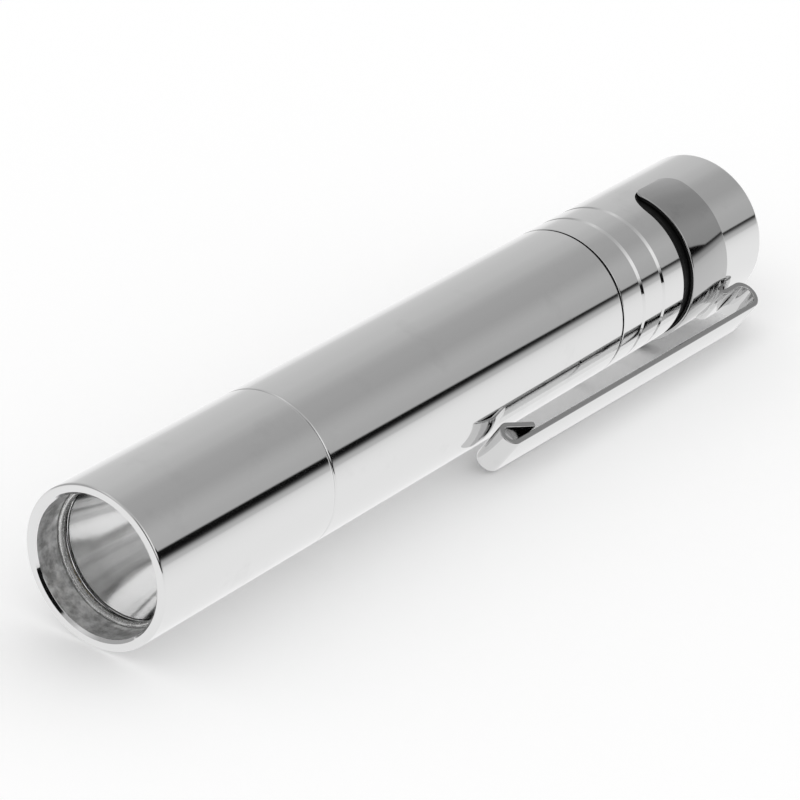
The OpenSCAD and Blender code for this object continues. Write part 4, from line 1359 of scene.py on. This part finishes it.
class BuildTail(bpy.types.Operator):
    """Rubber button and the two springs"""

    bl_idname = "penlight.tail"
    bl_label = "Button and springs"

    def execute(self, context):
        c, spring = context.scene.penlight_cap, context.scene.penlight_springs
        x0, x1 = span("tail_boot")
        flange_r = reach("tail_boot")
        bend = c.boot_round
        edge, top_steps = 0.12 * MM, 8
        inner_r = c.boot_r - c.boot_wall
        ceiling = x1 - c.boot_top
        turns = [QUARTER * k / top_steps for k in range(top_steps + 1)]
        top = [(x1 - bend + bend * math.sin(a), c.boot_r - bend + bend * math.cos(a))
               for a in turns]
        outline = [
            (ceiling - c.boot_nub_h, 0.0),
            (ceiling - c.boot_nub_h, c.boot_nub_r - edge),
            (ceiling - c.boot_nub_h + edge, c.boot_nub_r),
            (ceiling, c.boot_nub_r + edge),
            (ceiling, inner_r - 2 * edge),
            (ceiling - edge, inner_r),
            (x0 + edge, inner_r),
            (x0, inner_r + edge),
            (x0, flange_r - edge),
            (x0 + edge, flange_r),
            (x0 + c.boot_flange - edge, flange_r),
            (x0 + c.boot_flange, flange_r - edge),
            (x0 + c.boot_flange, c.boot_r + edge / 2),
            (x0 + c.boot_flange + edge, c.boot_r),
            (x1 - 2 * bend, c.boot_r),
            *top,
            (x1, c.boot_r / 3),
            (x1, 0.0),
        ]
        boot = turned("boot", outline, finishes("Black rubber"), "tail",
                      ["tail_boot"], closed=False, segments=128)
        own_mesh(boot)
        tree = helix_tree("Wound wire", False)
        steel = finish("Spring steel")
        s0, s1 = span("battery_spring")
        wire = spring.cell_wire
        wound("cell_spring", tree, {
            "Turns": spring.cell_curls, "Length": s1 - s0 - wire,
            "Start radius": spring.cell_tip_r - wire / 2,
            "End radius": reach("battery_spring") - wire / 2,
            "Section width": wire, "Place": (s0 + wire / 2, AXIS_Y, AXIS_Z), "Steps a turn": 64,
        }, steel, "tail", ["battery_spring"])
        s0, s1 = span("return_spring")
        wire = spring.return_wire
        coil_r = reach("return_spring") - wire / 2
        back = wound("button_spring", tree, {
            "Turns": spring.return_curls, "Length": s1 - s0 - wire,
            "Start radius": coil_r, "End radius": coil_r,
            "Section width": wire, "Place": (s0 + wire / 2, AXIS_Y, AXIS_Z), "Steps a turn": 48,
        }, steel, "tail", ["return_spring"])
        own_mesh(back)
        return {"FINISHED"}


class DressInside(bpy.types.Operator):
    """Materials of the pieces that stay as the frame has them"""

    bl_idname = "penlight.inside"
    bl_label = "Inner pieces"

    def execute(self, context):
        for node in NODES.values():
            if node.hide_render:
                continue
            for place in node.material_slots:
                slot = place.material.name.split(".")[0]
                place.material = finish(SLOT_FINISHES[slot])
        return {"FINISHED"}


def floor_finish():
    """White floor, which polished surfaces and glass see mostly without shadow and as falling
    off softly to the sides."""
    falloff_reach = 0.35
    f = Finish("Floor", Roughness=0.9, Specular_IOR_Level=0.0, Emission_Strength=1.0)
    share = f.remap(f.math("ABSOLUTE", f.parts(f.place)["Y"]), 0.0, falloff_reach)
    falloff = f.ramp(share, [(0.0, 1.0), (0.05, 1.0), (0.13, 0.95), (0.25, 0.89), (1.0, 0.77)])
    paths = f.add("ShaderNodeLightPath").outputs
    seen = f.math("ADD", paths["Is Glossy Ray"], paths["Is Transmission Ray"], clamp=True)
    white = bpy.context.scene.penlight_stage.floor_white
    # Painted light: polished surfaces and glass see the floor glow at the floor white share,
    # without its shadow and with a pool of light that falls off to the sides
    f.set("Base Color", f.mix(seen, WHITE, f.mix(white, falloff, BLACK)))
    f.set("Emission Color", f.mix(f.times(seen, white), BLACK, falloff))
    f.material.cycles.emission_sampling = "NONE"
    return f.material


# Levels of the tent by height, which is 0 at the horizon and 1 overhead as seen across the axis
UNDER_STRIP = [(0.0, 0.66), (0.034, 0.57), (0.07, 0.54), (0.105, 0.45), (0.14, 0.29),
               (0.174, 0.1), (0.21, 0.02), (0.244, 0.004), (1.0, 0.004)]
OVER_STRIP = [(0.2, 0.475), (0.4, 0.49), (0.655, 0.52), (0.774, 0.5), (0.925, 0.43),
              (1.0, 0.44)]
FAR_SIDE = [(0.0, 0.74), (0.131, 0.69), (0.465, 0.655), (0.749, 0.63), (0.939, 0.55),
            (1.0, 0.46)]
NEAR_END = [(0.0, 0.004), (0.2, 0.01), (0.36, 0.9), (0.5, 1.0), (0.7, 1.0), (0.88, 0.7),
            (1.0, 0.5)]
FAR_END = [(0.0, 0.45), (0.66, 0.46), (0.85, 0.7), (0.94, 0.8), (1.0, 0.55)]
DARKEST = 0.004


def surroundings(world):
    """Soft studio: white for the camera, an even light for matt surfaces, and for polished ones a
    tent with one dark strip beside the floor and a white end behind the camera."""
    world.use_nodes = True
    s = Shader(world.node_tree)
    way = s.parts(s.add("ShaderNodeTexCoord").outputs["Generated"])
    square = s.math("MAXIMUM", s.minus(1.0, s.times(way["X"], way["X"])), 0.0001)
    height = s.math("DIVIDE", way["Z"], s.math("SQRT", square))

    # The strip's upper edge sinks along the light, and bends on each side of its middle
    middle, tilt, bow = 0.679, 0.75, 6.2
    along = s.minus(s.math("MINIMUM", s.math("MAXIMUM", way["X"], 0.6), 0.775), middle)
    bend = s.times(s.times(along, s.math("ABSOLUTE", along)), bow)
    limit = s.plus(s.plus(height, s.times(along, tilt)), bend)
    over = s.remap(limit, 0.35, 0.382)
    near = s.mix(over, s.ramp(height, UNDER_STRIP), s.ramp(height, OVER_STRIP))
    side = s.remap(way["Y"], -0.12, 0.12)
    tent = s.mix(side, near, s.ramp(height, FAR_SIDE))

    # One small dark spot at the end shows in the rim's bevel
    spot = s.times(s.remap(way["X"], -0.716, -0.708, 1.0, 0.0),
                   s.remap(height, 0.97, 0.99, 1.0, 0.0))
    near_end = s.mix(spot, s.ramp(height, NEAR_END), grey(DARKEST))
    end = s.mix(side, near_end, s.ramp(height, FAR_END))
    around = s.mix(s.remap(way["X"], -0.05, 0.3, 1.0, 0.0), tent, end)

    paths = s.add("ShaderNodeLightPath").outputs
    fill = bpy.context.scene.penlight_stage.fill
    lit = s.mix(paths["Is Glossy Ray"], grey(fill), around)
    lit = s.mix(paths["Is Transmission Ray"], lit, s.mix(0.62, grey(0.8), around))
    back = s.tree.nodes["Background"]
    s.plug(back, "Color", s.mix(paths["Is Camera Ray"], lit, WHITE))


class BuildStage(bpy.types.Operator):
    """Floor, surroundings and camera"""

    bl_idname = "penlight.stage"
    bl_label = "Stage"

    def execute(self, context):
        size = context.scene.penlight_stage
        mesh = bmesh.new()
        h = size.floor_half
        corners = ((-1, -1), (1, -1), (1, 1), (-1, 1))
        mesh.faces.new([mesh.verts.new((x * h, y * h, 0.0)) for x, y in corners])
        data = bpy.data.meshes.new("floor")
        mesh.to_mesh(data)
        mesh.free()
        data.materials.append(floor_finish())
        floor = bpy.data.objects.new("floor", data)
        context.scene.collection.objects.link(floor)
        world = context.scene.world or bpy.data.worlds.new("Studio")
        context.scene.world = world
        surroundings(world)
        context.scene.view_settings.view_transform = "Standard"
        self.camera(context, size)
        return {"FINISHED"}

    def camera(self, context, size):
        """Camera at the photograph's viewing angle."""
        right = Vector((0.594835, -0.801213, 0.065026))
        up = Vector((0.339278, 0.323572, 0.883284))
        ahead = Vector((0.728740, 0.503346, -0.464306))
        data = bpy.data.cameras.new("Camera")
        data.lens = size.focal
        data.sensor_width = size.sensor
        camera = bpy.data.objects.new("Camera", data)
        place = Matrix((right, up, -ahead)).transposed().to_4x4()
        place.translation = Vector((-0.240847, -0.162735, 0.157743))
        camera.matrix_world = place
        data.clip_start, data.clip_end = 0.01, 20.0
        context.scene.collection.objects.link(camera)
        context.scene.camera = camera


class PenlightPanel(bpy.types.Panel):
    """Lists the build steps"""

    bl_idname = "VIEW3D_PT_penlight"
    bl_label = "Penlight"
    bl_space_type = "VIEW_3D"
    bl_region_type = "UI"
    bl_category = "Penlight"

    def draw(self, context):
        for step in STEPS:
            self.layout.operator(step.bl_idname)


GROUPS = {
    "penlight_body": BodySizes, "penlight_cap": CapSizes, "penlight_lens": LensSizes,
    "penlight_clip": ClipSizes, "penlight_springs": SpringSizes, "penlight_finishes": Finishes,
    "penlight_stage": StageSizes,
}
STEPS = (BuildHead, BuildBarrel, BuildCap, BuildThreads, BuildLens, BuildClip, BuildTail,
         DressInside, BuildStage)


def register():
    for kind in (*GROUPS.values(), *STEPS, PenlightPanel):
        bpy.utils.register_class(kind)
    for name, kind in GROUPS.items():
        setattr(bpy.types.Scene, name, PointerProperty(type=kind))


def unregister():
    for name in GROUPS:
        delattr(bpy.types.Scene, name)
    for kind in (PenlightPanel, *reversed(STEPS), *reversed(GROUPS.values())):
        bpy.utils.unregister_class(kind)


def main():
    register()
    bpy.ops.penlight.head()
    bpy.ops.penlight.barrel()
    bpy.ops.penlight.cap()
    bpy.ops.penlight.threads()
    bpy.ops.penlight.lens()
    bpy.ops.penlight.clip()
    bpy.ops.penlight.tail()
    bpy.ops.penlight.inside()
    bpy.ops.penlight.stage()


if __name__ == "__main__":
    main()
